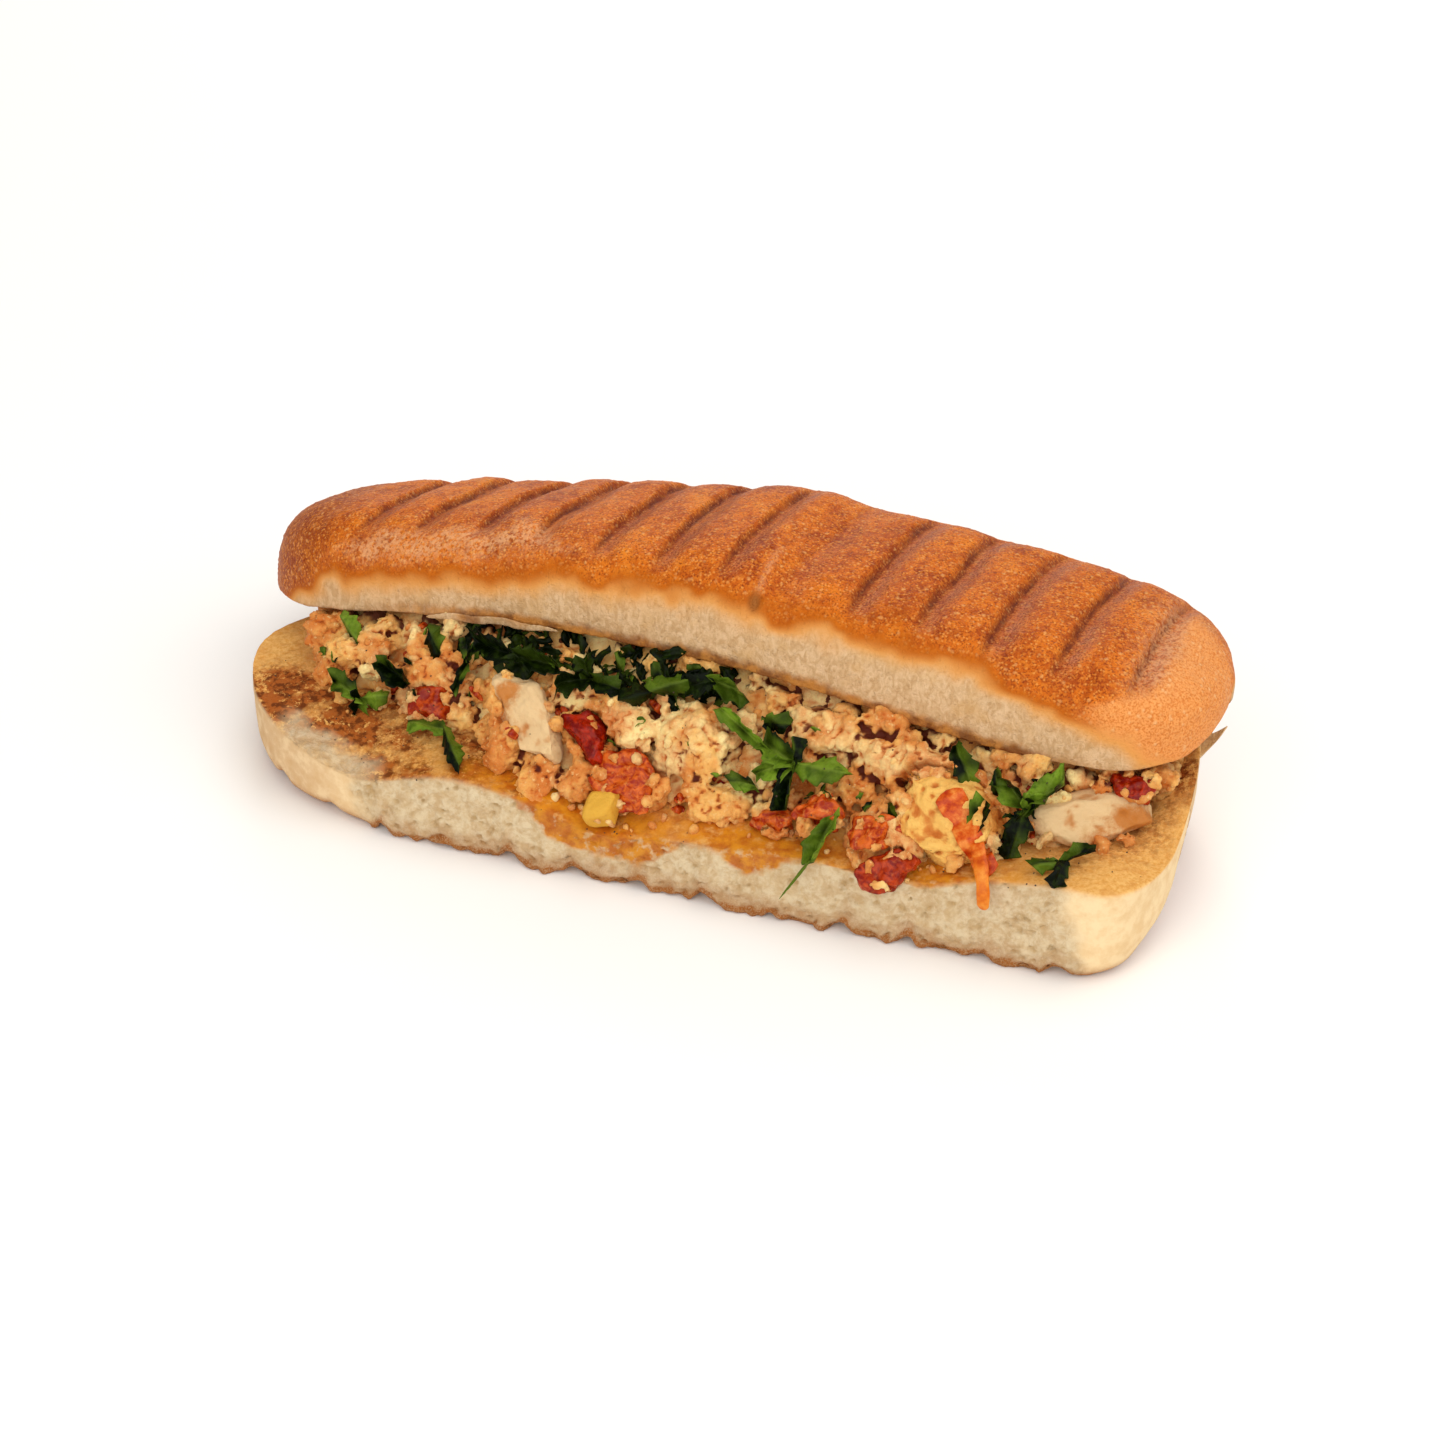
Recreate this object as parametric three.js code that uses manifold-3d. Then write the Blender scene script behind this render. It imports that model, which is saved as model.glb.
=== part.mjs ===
// Shakshuka sandwich: a pressed, ribbed roll cut in two halves and filled with egg, tomato and parsley.
// Millimetres, +Z up, +X along the roll, and the open front of the sandwich looks towards -Y.
import * as THREE from "three";
import { mergeVertices } from "three/addons/utils/BufferGeometryUtils.js";
import Module from "manifold-3d";

const wasm = await Module();
wasm.setup();

// Driving dimensions.
const GAP = 0.4; // how far a cutter stands proud of the piece that it makes room for
const RIB_PITCH = 15.5; // spacing of the ribs that the press leaves on both halves
const TOP_STATIONS = [0, 0.16, 0.5, 0.84]; // valley, flank, ridge and flank, as shares of the pitch
const BOTTOM_STATIONS = [0, 0.22, 0.78];
const VALLEY_REACH = 0.22; // share of the pitch from the middle of a valley to the flat ridge
const RIB_LEAN = 0.06; // how far the ribs run askew to the roll
const END_STATIONS = [0.4, 1.6, 3.6, 6.6, 10.5]; // distances from an end where the outline turns fast

const BOTTOM = {
  left: -112,
  right: 112.5,
  halfWidth: 39,
  axisY: 2,
  axisTurn: -0.03, // the roll lies slightly askew to its torn front
  tornFront: -36.6,
  tornTurn: -0.02,
  tornLean: 2.2, // the top of the torn front stands back by this much
  thickness: 18.5,
  rightLift: 2.2, // how much thicker the right end is
  edgeRadius: 6,
  tornRadius: 1,
  ribDepth: 2.8,
  ribStart: -30.9,
};
// How far the inner face of the bottom half sags towards its front edge, as [x, depth].
const INNER_SAG = [
  [-112, 0],
  [-90, 2],
  [-69, 6],
  [-49, 0.5],
  [-30, 2],
  [-12, 7],
  [11, 4],
  [34, 2.5],
  [56, 3],
  [78, -0.5],
  [98, -3],
  [112.5, -2],
];

// The right end of the bottom half curls up behind the filling, by this height.
const CURL = { height: 9, from: 98, front: -25, full: 18, rear: 36 };

const TOP = {
  halfLength: 118,
  halfWidth: 31,
  place: [-0.8, 25, 42.4],
  turn: -0.1, // radians about Z: the right end comes forward
  crownPower: 3.3,
  rightUndercut: 0.38, // share of the thickness by which the lower edge rises round the right end
  ribDepth: 2.6,
  ribStart: 8.5,
};
// Along the axis of the top half: its thickness, how far its front lower edge droops, and how far the
// section leans back about that edge, in radians. The left end leans and droops most.
const TOP_THICKNESS = [
  [-118, 16],
  [-95, 19],
  [-60, 21],
  [-20, 22],
  [12, 24],
  [24, 21.5],
  [42, 22.5],
  [85, 22.5],
  [118, 20],
];
const TOP_DROOP = [
  [-118, 14.5],
  [-100, 10],
  [-68, 4.6],
  [-42, 1.6],
  [0, 0],
  [33, 0.6],
  [72, 3.6],
  [118, 5.5],
];
const TOP_LEAN = [
  [-118, 0.24],
  [-60, 0.22],
  [-20, 0.135],
  [12, 0.075],
  [45, 0.05],
  [118, 0.05],
];

const FILLING = {
  left: -97,
  right: 103,
  stations: 22,
  browSetback: 2, // behind the front edge of the top half
  heelSetback: 6, // in front of the rear edge of the bottom half
  thinnest: 1.2,
  margin: 0.9, // between the bare core and the two halves
};
// Where the filling meets the inner face at the front, as [x, y].
const FILLING_TOE = [
  [-97, 2],
  [-85, -10],
  [-67, -12],
  [-45, -19],
  [-27, -27],
  [-8, -30],
  [11, -26],
  [33, -25],
  [50, -29],
  [62, -29],
  [76, -26],
  [88, -14],
  [97, -6],
  [104, 4],
];

const SLOPE = 0.8; // radians from level at which the front of the filling lies
// Large curds of scrambled egg, fused to the heap: place, size and turn in the slope.
const CURDS = [
  { at: [-93, 3, 26], size: [11, 9, 8], small: true },
  { at: [-81, -4, 27], size: [19, 10, 10], turn: 0.15 },
  { at: [-62, -7, 28], size: [14, 15, 12], turn: 0.5 },
  { at: [-53, -14, 22], size: [9, 9, 8], small: true },
  { at: [-38, -20, 21], size: [13, 14, 11], turn: 0.4 },
  { at: [-29, -26, 18], size: [10, 12, 9], small: true },
  { at: [-25, -12, 33], size: [13, 9, 8], small: true },
  { at: [-11, -16, 31], size: [16, 13, 12], turn: -0.2 },
  { at: [5, -17, 29.5], size: [19, 19, 13], turn: 0.3 },
  { at: [-18, -26, 19], size: [11, 9, 8], turn: 0.4, small: true },
  { at: [15, -25, 19], size: [14, 10, 9], turn: 0.3 },
  { at: [34, -13, 34], size: [20, 12, 10], turn: -0.1 },
  { at: [47, -10, 38], size: [10, 7, 7], small: true },
  { at: [51, -16, 32.5], size: [27, 13, 11], turn: -0.05 },
  { at: [49, -27, 20.5], size: [12, 14, 11], turn: 0.5 },
  { at: [105, 8, 25], size: [9, 9, 9], turn: 0.3, small: true },
];
const CRUMBLE = { least: 7, spread: 5, rows: [0.1, 0.42, 0.74], step: 10.2, rearStep: 14 };
// Pieces of boiled egg, tomato and pepper that are nodes of their own.
const EGG_PIECES = [
  { name: "egg_white_wedge", at: [-34, -19.5, 29], size: [25, 12, 9], turn: -0.75, square: 0.8 },
  { name: "egg_white_slab", at: [93.5, -14.5, 26.5], size: [28, 13, 8], heading: 0.5, square: 0.85 },
  { name: "egg_yolk_piece", at: [-12, -31, 16.8], size: [8, 8, 7.5], square: 0.55, lean: 0.5 },
  { name: "egg_smooth_piece", at: [64, -24.5, 26.5], size: [23, 18, 11], rough: 0.14 },
];
const TOMATO_PIECES = [
  { name: "tomato_left", at: [-60, -13.5, 23], size: [9, 9, 6] },
  { name: "tomato_red", at: [-20, -20, 26.5], size: [13, 7, 6], turn: -0.8 },
  { name: "tomato_pulp", at: [-7.5, -26.5, 21.5], size: [14, 11, 7], turn: -0.3 },
  { name: "tomato_low", at: [27, -27, 19.5], size: [9, 7, 6] },
  { name: "tomato_middle", at: [37, -27.5, 23.5], size: [9, 8, 6] },
  { name: "tomato_clump", at: [50, -31.5, 24], size: [10, 6, 5], turn: 0.2 },
  { name: "tomato_front", at: [55, -36.5, 18.5], size: [12, 7, 5], turn: 0.4 },
  { name: "tomato_right", at: [101.5, -8.5, 32.5], size: [8, 6, 6] },
];
const PEPPER_STRIPS = [
  { name: "pepper_strip", from: [63.5, -24.5, 33.5], to: [78, -30, 22], width: 6 },
  { name: "pepper_tail", from: [74, -31.5, 23], by: [76, -40.5, 23], to: [76, -40, 15], width: 3.6 },
];
// Chopped parsley: leaflets that run from a shared knot to each tip.
const PARSLEY = [
  { name: "left", knot: [-78, -13, 21], tips: [[-86, -11, 23.5], [-77.5, -15, 17.5], [-71, -13, 22.5]] },
  { name: "folded", knot: [-74, -10, 29.5], tips: [[-65, -14.5, 28.5]] },
  { name: "top_left", knot: [-89, 2.5, 32], tips: [[-81.5, -3.5, 30.5]], width: 6 },
  { name: "back_left", knot: [-63.5, -4.5, 37.5], tips: [[-59.8, -7, 33]], width: 5 },
  { name: "sprig", knot: [-52.5, -8.5, 33], tips: [[-54, -5.5, 37.5], [-53.5, -15, 28.5]], width: 3.2 },
  { name: "fork", knot: [-54.3, -19.5, 21.5], tips: [[-64, -17.5, 19.5], [-46.5, -30, 20]], width: 5 },
  {
    name: "band_one",
    knot: [-40, -10, 38],
    tips: [[-51.5, -6.5, 37.5], [-29.5, -12, 39], [-36, -13, 34.5], [-45, -11, 34.5]],
    width: 6,
  },
  {
    name: "band_two",
    knot: [-21, -13.5, 38],
    tips: [[-28.5, -15, 36], [-13.5, -15, 37.5], [-24, -9.5, 40]],
    width: 6,
  },
  { name: "band_three", knot: [-6, -15, 38.5], tips: [[-12.5, -17.5, 36.5], [1.5, -10.5, 40.5]], width: 6.5 },
  { name: "band_four", knot: [7, -10.5, 41], tips: [[0.5, -12, 39], [14, -11, 39]] },
  { name: "long", knot: [10.3, -16.5, 38.5], tips: [[23.5, -19.5, 30]], width: 3.8 },
  { name: "upper", knot: [20, -16, 36], tips: [[26.5, -16.5, 37.5]], width: 5 },
  {
    name: "centre",
    knot: [29, -22, 31.5],
    tips: [[21, -18.5, 33.5], [41, -24, 32.5], [21, -24, 28.5], [28.5, -29.5, 24], [28.5, -19, 36]],
    width: 6.5,
  },
  { name: "low_left", knot: [21, -24.5, 25.5], tips: [[15.5, -25.5, 26]], width: 5 },
  { name: "small", knot: [62.8, -14.5, 38.5], tips: [[68, -19, 32]] },
  { name: "slim", knot: [72.5, -19.5, 36.5], tips: [[74.5, -21, 32.5]], width: 3.6 },
  { name: "on_egg", knot: [70.5, -29.5, 26], tips: [[71.8, -24.5, 33]], width: 4.8 },
  {
    name: "right",
    knot: [80, -23, 31],
    tips: [[75.5, -20.5, 36], [87, -18, 37], [78.5, -28, 21.5], [84, -22, 33]],
    width: 6.5,
  },
  {
    name: "stalk",
    knot: [40, -29, 24.5],
    tips: [[37.5, -38, 18.5]],
    width: 4.6,
    stalk: [31.5, -40.5, 8.5],
  },
  { name: "crumb", knot: [51, -25.5, 27.5], tips: [[53.5, -25.5, 24]], width: 3.4 },
  {
    name: "front_right",
    knot: [90.5, -30, 24.5],
    tips: [[84.5, -32, 23.5], [90.5, -37.5, 23.3], [94.5, -22.5, 24.5]],
    width: 5,
  },
];
const LEAF_ROOM = 5; // no crumble lies nearer than this to the ends of a leaf
const OUTWARD = new THREE.Vector3(-0.05, -Math.sin(SLOPE), Math.cos(SLOPE)).normalize();
const LEAF = { width: 5.5, thickness: 0.9, steps: 3, crosswise: 1, wave: 0.55, arch: 1.2, stalkWidth: 1.4 };
const STRIP = { thickness: 2.4, taper: 0.3 };

// The crust bulges without ribs where the roll bends over the filling.
const KINK = { at: 23, width: 9 };

const CRUMB = 0xeadfc4;
const CRUST = 0xb8692c;
const EGG = 0xe3c08a;
const EGG_WHITE = 0xefe6d2;
const YOLK = 0xe2bc52;
const TOMATO = 0xc0402a;
const PEPPER = 0xe07a35;
const LEAF_GREEN = 0x2f6b2a;

// Piecewise cubic through [x, value] keys, with the slope at a key taken from its neighbours.
function along(keys, x) {
  const last = keys.length - 1;
  const at = THREE.MathUtils.clamp(x, keys[0][0], keys[last][0]);
  let i = 0;
  while (i < last - 1 && at > keys[i + 1][0]) i += 1;
  const slope = (k) => {
    const a = keys[Math.max(k - 1, 0)];
    const b = keys[Math.min(k + 1, last)];
    return (b[1] - a[1]) / (b[0] - a[0]);
  };
  const span = keys[i + 1][0] - keys[i][0];
  const t = (at - keys[i][0]) / span;
  const rise = keys[i + 1][1] - keys[i][1];
  const m0 = slope(i) * span;
  const m1 = slope(i + 1) * span;
  return keys[i][1] + t * (m0 + t * (3 * rise - 2 * m0 - m1 + t * (m0 + m1 - 2 * rise)));
}

function smoothstep(low, high, x) {
  return THREE.MathUtils.smoothstep(x, low, high);
}

// Repeatable number from 0 to 1 for a lattice point.
function hash(x, y, z) {
  const h = Math.sin(x * 127.1 + y * 311.7 + z * 74.7) * 43758.5453;
  return h - Math.floor(h);
}

// Smooth noise from -1 to 1.
function noise(x, y, z) {
  const [i, j, k] = [Math.floor(x), Math.floor(y), Math.floor(z)];
  const ease = (t) => t * t * (3 - 2 * t);
  const [u, v, w] = [ease(x - i), ease(y - j), ease(z - k)];
  let sum = 0;
  for (let corner = 0; corner < 8; corner += 1) {
    const [a, b, c] = [corner & 1, (corner >> 1) & 1, corner >> 2];
    const share = (a ? u : 1 - u) * (b ? v : 1 - v) * (c ? w : 1 - w);
    sum += share * hash(i + a, j + b, k + c);
  }
  return 2 * sum - 1;
}

// Seeded random numbers from 0 to 1.
function randomSource(seed) {
  let state = seed;
  return () => {
    state = (state + 0x6d2b79f5) | 0;
    let t = Math.imul(state ^ (state >>> 15), 1 | state);
    t = (t + Math.imul(t ^ (t >>> 7), 61 | t)) ^ t;
    return ((t ^ (t >>> 14)) >>> 0) / 4294967296;
  };
}

// Closed geometry from rings of equal length, each end closed by a fan to the middle of its ring.
function loft(rings) {
  const count = rings[0].length;
  const points = rings.flat();
  const faces = [];
  for (let r = 0; r + 1 < rings.length; r += 1) {
    for (let i = 0; i < count; i += 1) {
      const [a, b] = [r * count + i, r * count + ((i + 1) % count)];
      faces.push(a, b, a + count, b, b + count, a + count);
    }
  }
  for (const [r, flip] of [[0, true], [rings.length - 1, false]]) {
    const middle = new THREE.Vector3();
    rings[r].forEach((p) => middle.addScaledVector(p, 1 / count));
    points.push(middle);
    for (let i = 0; i < count; i += 1) {
      const [a, b] = [r * count + i, r * count + ((i + 1) % count)];
      faces.push(points.length - 1, flip ? b : a, flip ? a : b);
    }
  }
  return new THREE.BufferGeometry().setFromPoints(points).setIndex(faces);
}

function solidOf(geometry) {
  const bare = new THREE.BufferGeometry();
  bare.setAttribute("position", geometry.getAttribute("position"));
  bare.setIndex(geometry.index);
  const merged = mergeVertices(bare, 1e-4);
  return new wasm.Manifold(
    new wasm.Mesh({
      numProp: 3,
      vertProperties: new Float32Array(merged.getAttribute("position").array),
      triVerts: new Uint32Array(merged.index.array),
    }),
  );
}

function geometryOf(solid) {
  const { vertProperties, triVerts, numProp } = solid.getMesh();
  const geometry = new THREE.BufferGeometry();
  const positions = new THREE.InterleavedBuffer(vertProperties, numProp);
  geometry.setAttribute("position", new THREE.InterleavedBufferAttribute(positions, 3, 0));
  geometry.setIndex(new THREE.BufferAttribute(triVerts, 1));
  return geometry.toNonIndexed();
}

// The same geometry with each corner moved outwards along its normal.
function grown(geometry, by) {
  const bare = new THREE.BufferGeometry();
  bare.setAttribute("position", geometry.getAttribute("position"));
  bare.setIndex(geometry.index);
  const bigger = mergeVertices(bare, 1e-4);
  bigger.computeVertexNormals();
  const [p, n] = [bigger.getAttribute("position"), bigger.getAttribute("normal")];
  for (let i = 0; i < p.count; i += 1) {
    p.setXYZ(i, p.getX(i) + by * n.getX(i), p.getY(i) + by * n.getY(i), p.getZ(i) + by * n.getZ(i));
  }
  return bigger;
}

// The largest body of a solid, without loose scraps.
function largest(solid) {
  return solid.decompose().reduce((a, b) => (b.volume() > a.volume() ? b : a));
}

// Share of the full width or height left near an end, where u runs from -1 to 1.
function endShare(u, power, root) {
  return Math.max(0, 1 - Math.abs(u) ** power) ** (1 / root);
}

// Depth of the pressed valleys, from 1 in a valley to 0 on a ridge.
function valley(phase) {
  const off = Math.min(Math.abs(phase - Math.round(phase)) / VALLEY_REACH, 1);
  return (1 + Math.cos(Math.PI * off)) / 2;
}

// Shift of a ring's point along the roll, so that the rings follow the ribs but not at the ends.
function askew(u, across) {
  return RIB_LEAN * across * (1 - smoothstep(0.7, 1, Math.abs(u)));
}

// Places along a half where its rings lie: at the ribs, and closer together at the ends.
function stations(from, to, ribStart, shares) {
  const found = [];
  for (let k = Math.ceil((from - ribStart) / RIB_PITCH) - 1; k * RIB_PITCH + ribStart < to; k += 1) {
    shares.forEach((share) => found.push(ribStart + (k + share) * RIB_PITCH));
  }
  const reach = END_STATIONS[END_STATIONS.length - 1] + 2;
  const inside = found.filter((x) => x > from + reach && x < to - reach);
  const ends = END_STATIONS.flatMap((d) => [from + d, to - d]);
  return [...inside, ...ends].sort((a, b) => a - b);
}

// Bottom half.

function bottomAxis(x) {
  return BOTTOM.axisY + BOTTOM.axisTurn * x;
}

function bottomHalfWidth(x) {
  const u = x < 0 ? x / -BOTTOM.left : x / BOTTOM.right;
  const [power, root] = x < 0 ? [5.5, 1.6] : [20, 2];
  return BOTTOM.halfWidth * endShare(u, power, root);
}

function tornEdge(x) {
  return BOTTOM.tornFront + BOTTOM.tornTurn * x;
}

function bottomFront(x) {
  return Math.max(bottomAxis(x) - bottomHalfWidth(x), tornEdge(x) + 0.5 * noise(x * 0.11, 3, 1));
}

// Height of the inner face, which sags towards the torn front and curls up at the right end.
function innerFace(x, y) {
  const sag = along(INNER_SAG, x) * (1 - smoothstep(tornEdge(x), tornEdge(x) + 26, y));
  const lift = BOTTOM.rightLift * smoothstep(40, 105, x);
  const curled = smoothstep(CURL.front, CURL.full, y) * (1 - smoothstep(CURL.full, CURL.rear, y));
  const curl = CURL.height * smoothstep(CURL.from, BOTTOM.right, x) * curled;
  return BOTTOM.thickness + lift + curl - sag + 0.5 * noise(x * 0.08, y * 0.08, 7);
}

function bottomRing(station) {
  const u = station < 0 ? station / -BOTTOM.left : station / BOTTOM.right;
  const height = endShare(u, u < 0 ? 26 : 34, 2);
  const front = bottomFront(station);
  const rear = bottomAxis(station) + bottomHalfWidth(station);
  const span = rear - front;
  const underside = BOTTOM.ribDepth * valley((station - BOTTOM.ribStart) / RIB_PITCH);
  const torn = smoothstep(-78, -58, station) * (1 - smoothstep(92, 104, station));
  const point = (across, z) => {
    const y = front + across * span;
    const x = station + askew(u, y - BOTTOM.axisY);
    const top = innerFace(x, y);
    const low = top - (top - underside) * height;
    return new THREE.Vector3(x, y, THREE.MathUtils.lerp(low, top, z));
  };
  const share = (radius) => Math.min(radius / span, 0.45);
  const frontRadius = share(THREE.MathUtils.lerp(BOTTOM.edgeRadius, BOTTOM.tornRadius, torn));
  const rearRadius = share(BOTTOM.edgeRadius);
  const rise = BOTTOM.edgeRadius / BOTTOM.thickness;
  const lean = Math.min((BOTTOM.tornLean * torn) / span, 0.1);
  const turn = [0.076, 0.293, 0.617];
  return [
    point(lean, 1),
    ...[0.14, 0.3, 0.5, 0.7, 0.88].map((across) => point(across, 1)),
    point(1, 0.97),
    point(1, rise),
    ...turn.map((t, i) => point(1 - t * rearRadius, rise * turn[2 - i])),
    point(1 - rearRadius, 0),
    ...[0.7, 0.5, 0.3].map((across) => point(across, 0)),
    point(frontRadius, 0),
    ...turn.map((t, i) => point(frontRadius * turn[2 - i], rise * t * (1 - 0.8 * torn))),
    point(0, rise),
    point(0.6 * lean, 0.7),
  ].reverse();
}

function bottomHalf() {
  return loft(stations(BOTTOM.left, BOTTOM.right, BOTTOM.ribStart, BOTTOM_STATIONS).map(bottomRing));
}

// Top half, first along its own axis with the cut face near z = 0, then turned into place.

function topHalfWidth(station) {
  const u = station / TOP.halfLength;
  return TOP.halfWidth * endShare(u, u < 0 ? 6.5 : 9, 1.9);
}

function topRing(station) {
  const u = station / TOP.halfLength;
  const width = topHalfWidth(station);
  const thickness = along(TOP_THICKNESS, station);
  const left = endShare(u, u < 0 ? 8 : 12, 2);
  const height = thickness * left;
  const base = (u < 0 ? 0 : TOP.rightUndercut * thickness * (1 - left)) - along(TOP_DROOP, station);
  const lean = along(TOP_LEAN, station);
  const phase = (station - TOP.ribStart) / RIB_PITCH;
  const kinked = Math.exp(-(((station - KINK.at) / KINK.width) ** 2));
  const ribbed = smoothstep(-104, -80, station) * (1 - 0.75 * kinked);
  const depth = TOP.ribDepth * valley(phase) * ribbed;
  const point = (across, up) => {
    const back = (across + 1) * width;
    const high = height * up - depth * smoothstep(0.76, 0.97, up);
    const y = -width + back * Math.cos(lean) + high * Math.sin(lean);
    const z = base - back * Math.sin(lean) + high * Math.cos(lean);
    const x = station + askew(u, y);
    return new THREE.Vector3(x, y, z + 0.4 * noise(x * 0.07, y * 0.07, 11 + up));
  };
  const bend = 2 / TOP.crownPower;
  const ring = [];
  for (let i = 0; i <= 12; i += 1) {
    const angle = (Math.PI * i) / 12;
    const across = -Math.sign(Math.cos(angle)) * Math.abs(Math.cos(angle)) ** bend;
    ring.push(point(i === 6 ? 0 : across, Math.sin(angle) ** bend));
  }
  [0.7, 0.35, 0, -0.35, -0.7].forEach((across) => ring.push(point(across, 0)));
  return ring.reverse();
}

function topHalf() {
  const places = stations(-TOP.halfLength, TOP.halfLength, TOP.ribStart, TOP_STATIONS);
  const geometry = loft(places.map(topRing));
  return geometry.rotateZ(TOP.turn).translate(...TOP.place);
}

// Height of the cut face of the top half over a point of the plan.
function cutFace(x, y) {
  const [dx, dy] = [x - TOP.place[0], y - TOP.place[1]];
  const station = dx * Math.cos(TOP.turn) + dy * Math.sin(TOP.turn);
  const across = dy * Math.cos(TOP.turn) - dx * Math.sin(TOP.turn);
  const back = Math.max(across + topHalfWidth(station), 0);
  return TOP.place[2] - along(TOP_DROOP, station) - back * Math.sin(along(TOP_LEAN, station));
}

// Front edge of the top half in plan.
function topFront(x) {
  const station = (x - TOP.place[0]) / Math.cos(TOP.turn) - TOP.halfWidth * Math.sin(TOP.turn);
  return TOP.place[1] + station * Math.sin(TOP.turn) - topHalfWidth(station) * Math.cos(TOP.turn);
}

// Filling.

function coreRing(x) {
  const toe = along(FILLING_TOE, x);
  const brow = topFront(x) + FILLING.browSetback;
  const heel = bottomAxis(x) + bottomHalfWidth(x) - FILLING.heelSetback;
  const floor = (y) => innerFace(x, y) + FILLING.margin;
  const roof = (y) => Math.max(cutFace(x, y) - FILLING.margin, floor(y) + FILLING.thinnest);
  const ring = [0, 0.35, 0.7].map((t) => THREE.MathUtils.lerp(heel, toe, t)).map((y) => [y, floor(y)]);
  [0, 0.33, 0.66].forEach((t) => {
    const y = THREE.MathUtils.lerp(toe, brow, t ** 1.2);
    ring.push([y, THREE.MathUtils.lerp(floor(toe), roof(brow), t)]);
  });
  [0, 0.35, 0.7, 1].forEach((t) => {
    const y = THREE.MathUtils.lerp(brow, heel + 1, t);
    ring.push([y, roof(y)]);
  });
  return ring.map(([y, z]) => new THREE.Vector3(x, y, z)).reverse();
}

function fillingCore() {
  const rings = [];
  for (let i = 0; i <= FILLING.stations; i += 1) {
    rings.push(coreRing(THREE.MathUtils.lerp(FILLING.left, FILLING.right, i / FILLING.stations)));
  }
  return loft(rings);
}

// A rounded, uneven piece. Its size is given along the roll, up the front slope and out of it.
function lump(piece) {
  const { at, size, turn = 0, lean = SLOPE, heading = 0 } = piece;
  const { seed = 1, small = false, square = 1, rough = 0.22 } = piece;
  const ball = small ? new THREE.IcosahedronGeometry(1, 0) : new THREE.IcosahedronGeometry(1, 1);
  const geometry = grown(ball, 0);
  geometry.deleteAttribute("normal");
  const p = geometry.getAttribute("position");
  for (let i = 0; i < p.count; i += 1) {
    const direction = new THREE.Vector3().fromBufferAttribute(p, i);
    const [x, y, z] = direction.toArray();
    const reach = 1 + rough * noise(x * 1.6 + seed * 7.3, y * 1.6 + seed, z * 1.6 - seed);
    const corner = direction.toArray().map((c) => reach * Math.sign(c) * Math.abs(c) ** square);
    p.setXYZ(i, ...corner);
  }
  geometry.scale(...size.map((side) => side / 2));
  return geometry.rotateZ(turn).rotateX(lean).rotateZ(heading).translate(...at);
}

// Point on the front slope of the filling, a share of the way up from its toe.
function onSlope(x, share) {
  const toe = along(FILLING_TOE, x);
  const brow = topFront(x) + FILLING.browSetback;
  const [low, high] = [innerFace(x, toe) + FILLING.margin, cutFace(x, brow) - FILLING.margin];
  return [x, THREE.MathUtils.lerp(toe, brow, share ** 1.2), THREE.MathUtils.lerp(low, high, share)];
}

// Point on the rear face of the filling, a share of the way up.
function onRear(x, share) {
  const y = bottomAxis(x) + bottomHalfWidth(x) - FILLING.heelSetback;
  return [x, y, THREE.MathUtils.lerp(innerFace(x, y), cutFace(x, y), share)];
}

// Small crumbles of egg over the whole edge of the heap, none where a larger piece lies.
function crumbles(taken) {
  const random = randomSource(41);
  const found = [];
  const free = (at) => taken.every(([place, reach]) => new THREE.Vector3(...place).distanceTo(at) > reach);
  const place = (at, lean) => {
    const size = [0, 1, 2].map(() => CRUMBLE.least + CRUMBLE.spread * random());
    const [turn, seed] = [Math.PI * random(), 10 + found.length];
    if (free(new THREE.Vector3(...at))) found.push(lump({ at, size, turn, seed, lean, small: true }));
  };
  for (const share of CRUMBLE.rows) {
    for (let x = FILLING.left + 4; x < FILLING.right; x += CRUMBLE.step) {
      place(onSlope(x + 3 * random(), share + 0.12 * random()), SLOPE);
    }
  }
  for (let x = FILLING.left + 6; x < FILLING.right; x += CRUMBLE.rearStep) {
    place(onRear(x + 3 * random(), 0.5), 0);
  }
  for (const y of [12, 25]) {
    place([FILLING.left + 1, y + 2 * random(), 22 + 2 * random()], 0);
    place([FILLING.right, y + 2 * random() - 4, 26 + 6 * random()], 0);
  }
  return found;
}

// Thin wavy plate along a curve from one point by another to a third, both faces split alike.
function blade({ from, by, to, width, thickness, seed = 0, facing = OUTWARD, even = false }) {
  const [start, end] = [new THREE.Vector3(...from), new THREE.Vector3(...to)];
  const middle = start.clone().lerp(end, 0.5).addScaledVector(facing, even ? 0 : LEAF.arch);
  const line = new THREE.QuadraticBezierCurve3(start, by ? new THREE.Vector3(...by) : middle, end);
  const points = [];
  for (const side of [-0.5, 0.5]) {
    for (let i = 0; i <= LEAF.steps; i += 1) {
      const t = i / LEAF.steps;
      const ahead = line.getTangent(t);
      const across = facing.clone().cross(ahead).normalize();
      const out = ahead.clone().cross(across);
      const full = even ? 1 - STRIP.taper * t : 0.35 + 0.65 * Math.sin(Math.PI * (0.12 + 0.8 * t)) ** 0.8;
      for (let j = 0; j <= LEAF.crosswise; j += 1) {
        const v = (2 * j) / LEAF.crosswise - 1;
        const wave = even ? 0 : LEAF.wave * Math.sin(5 * t + 2.1 * seed + 1.7 * v);
        const p = line.getPoint(t).addScaledVector(across, (v * full * width) / 2);
        points.push(p.addScaledVector(out, wave + side * thickness));
      }
    }
  }
  return plate(points, LEAF.steps, LEAF.crosswise);
}

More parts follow.
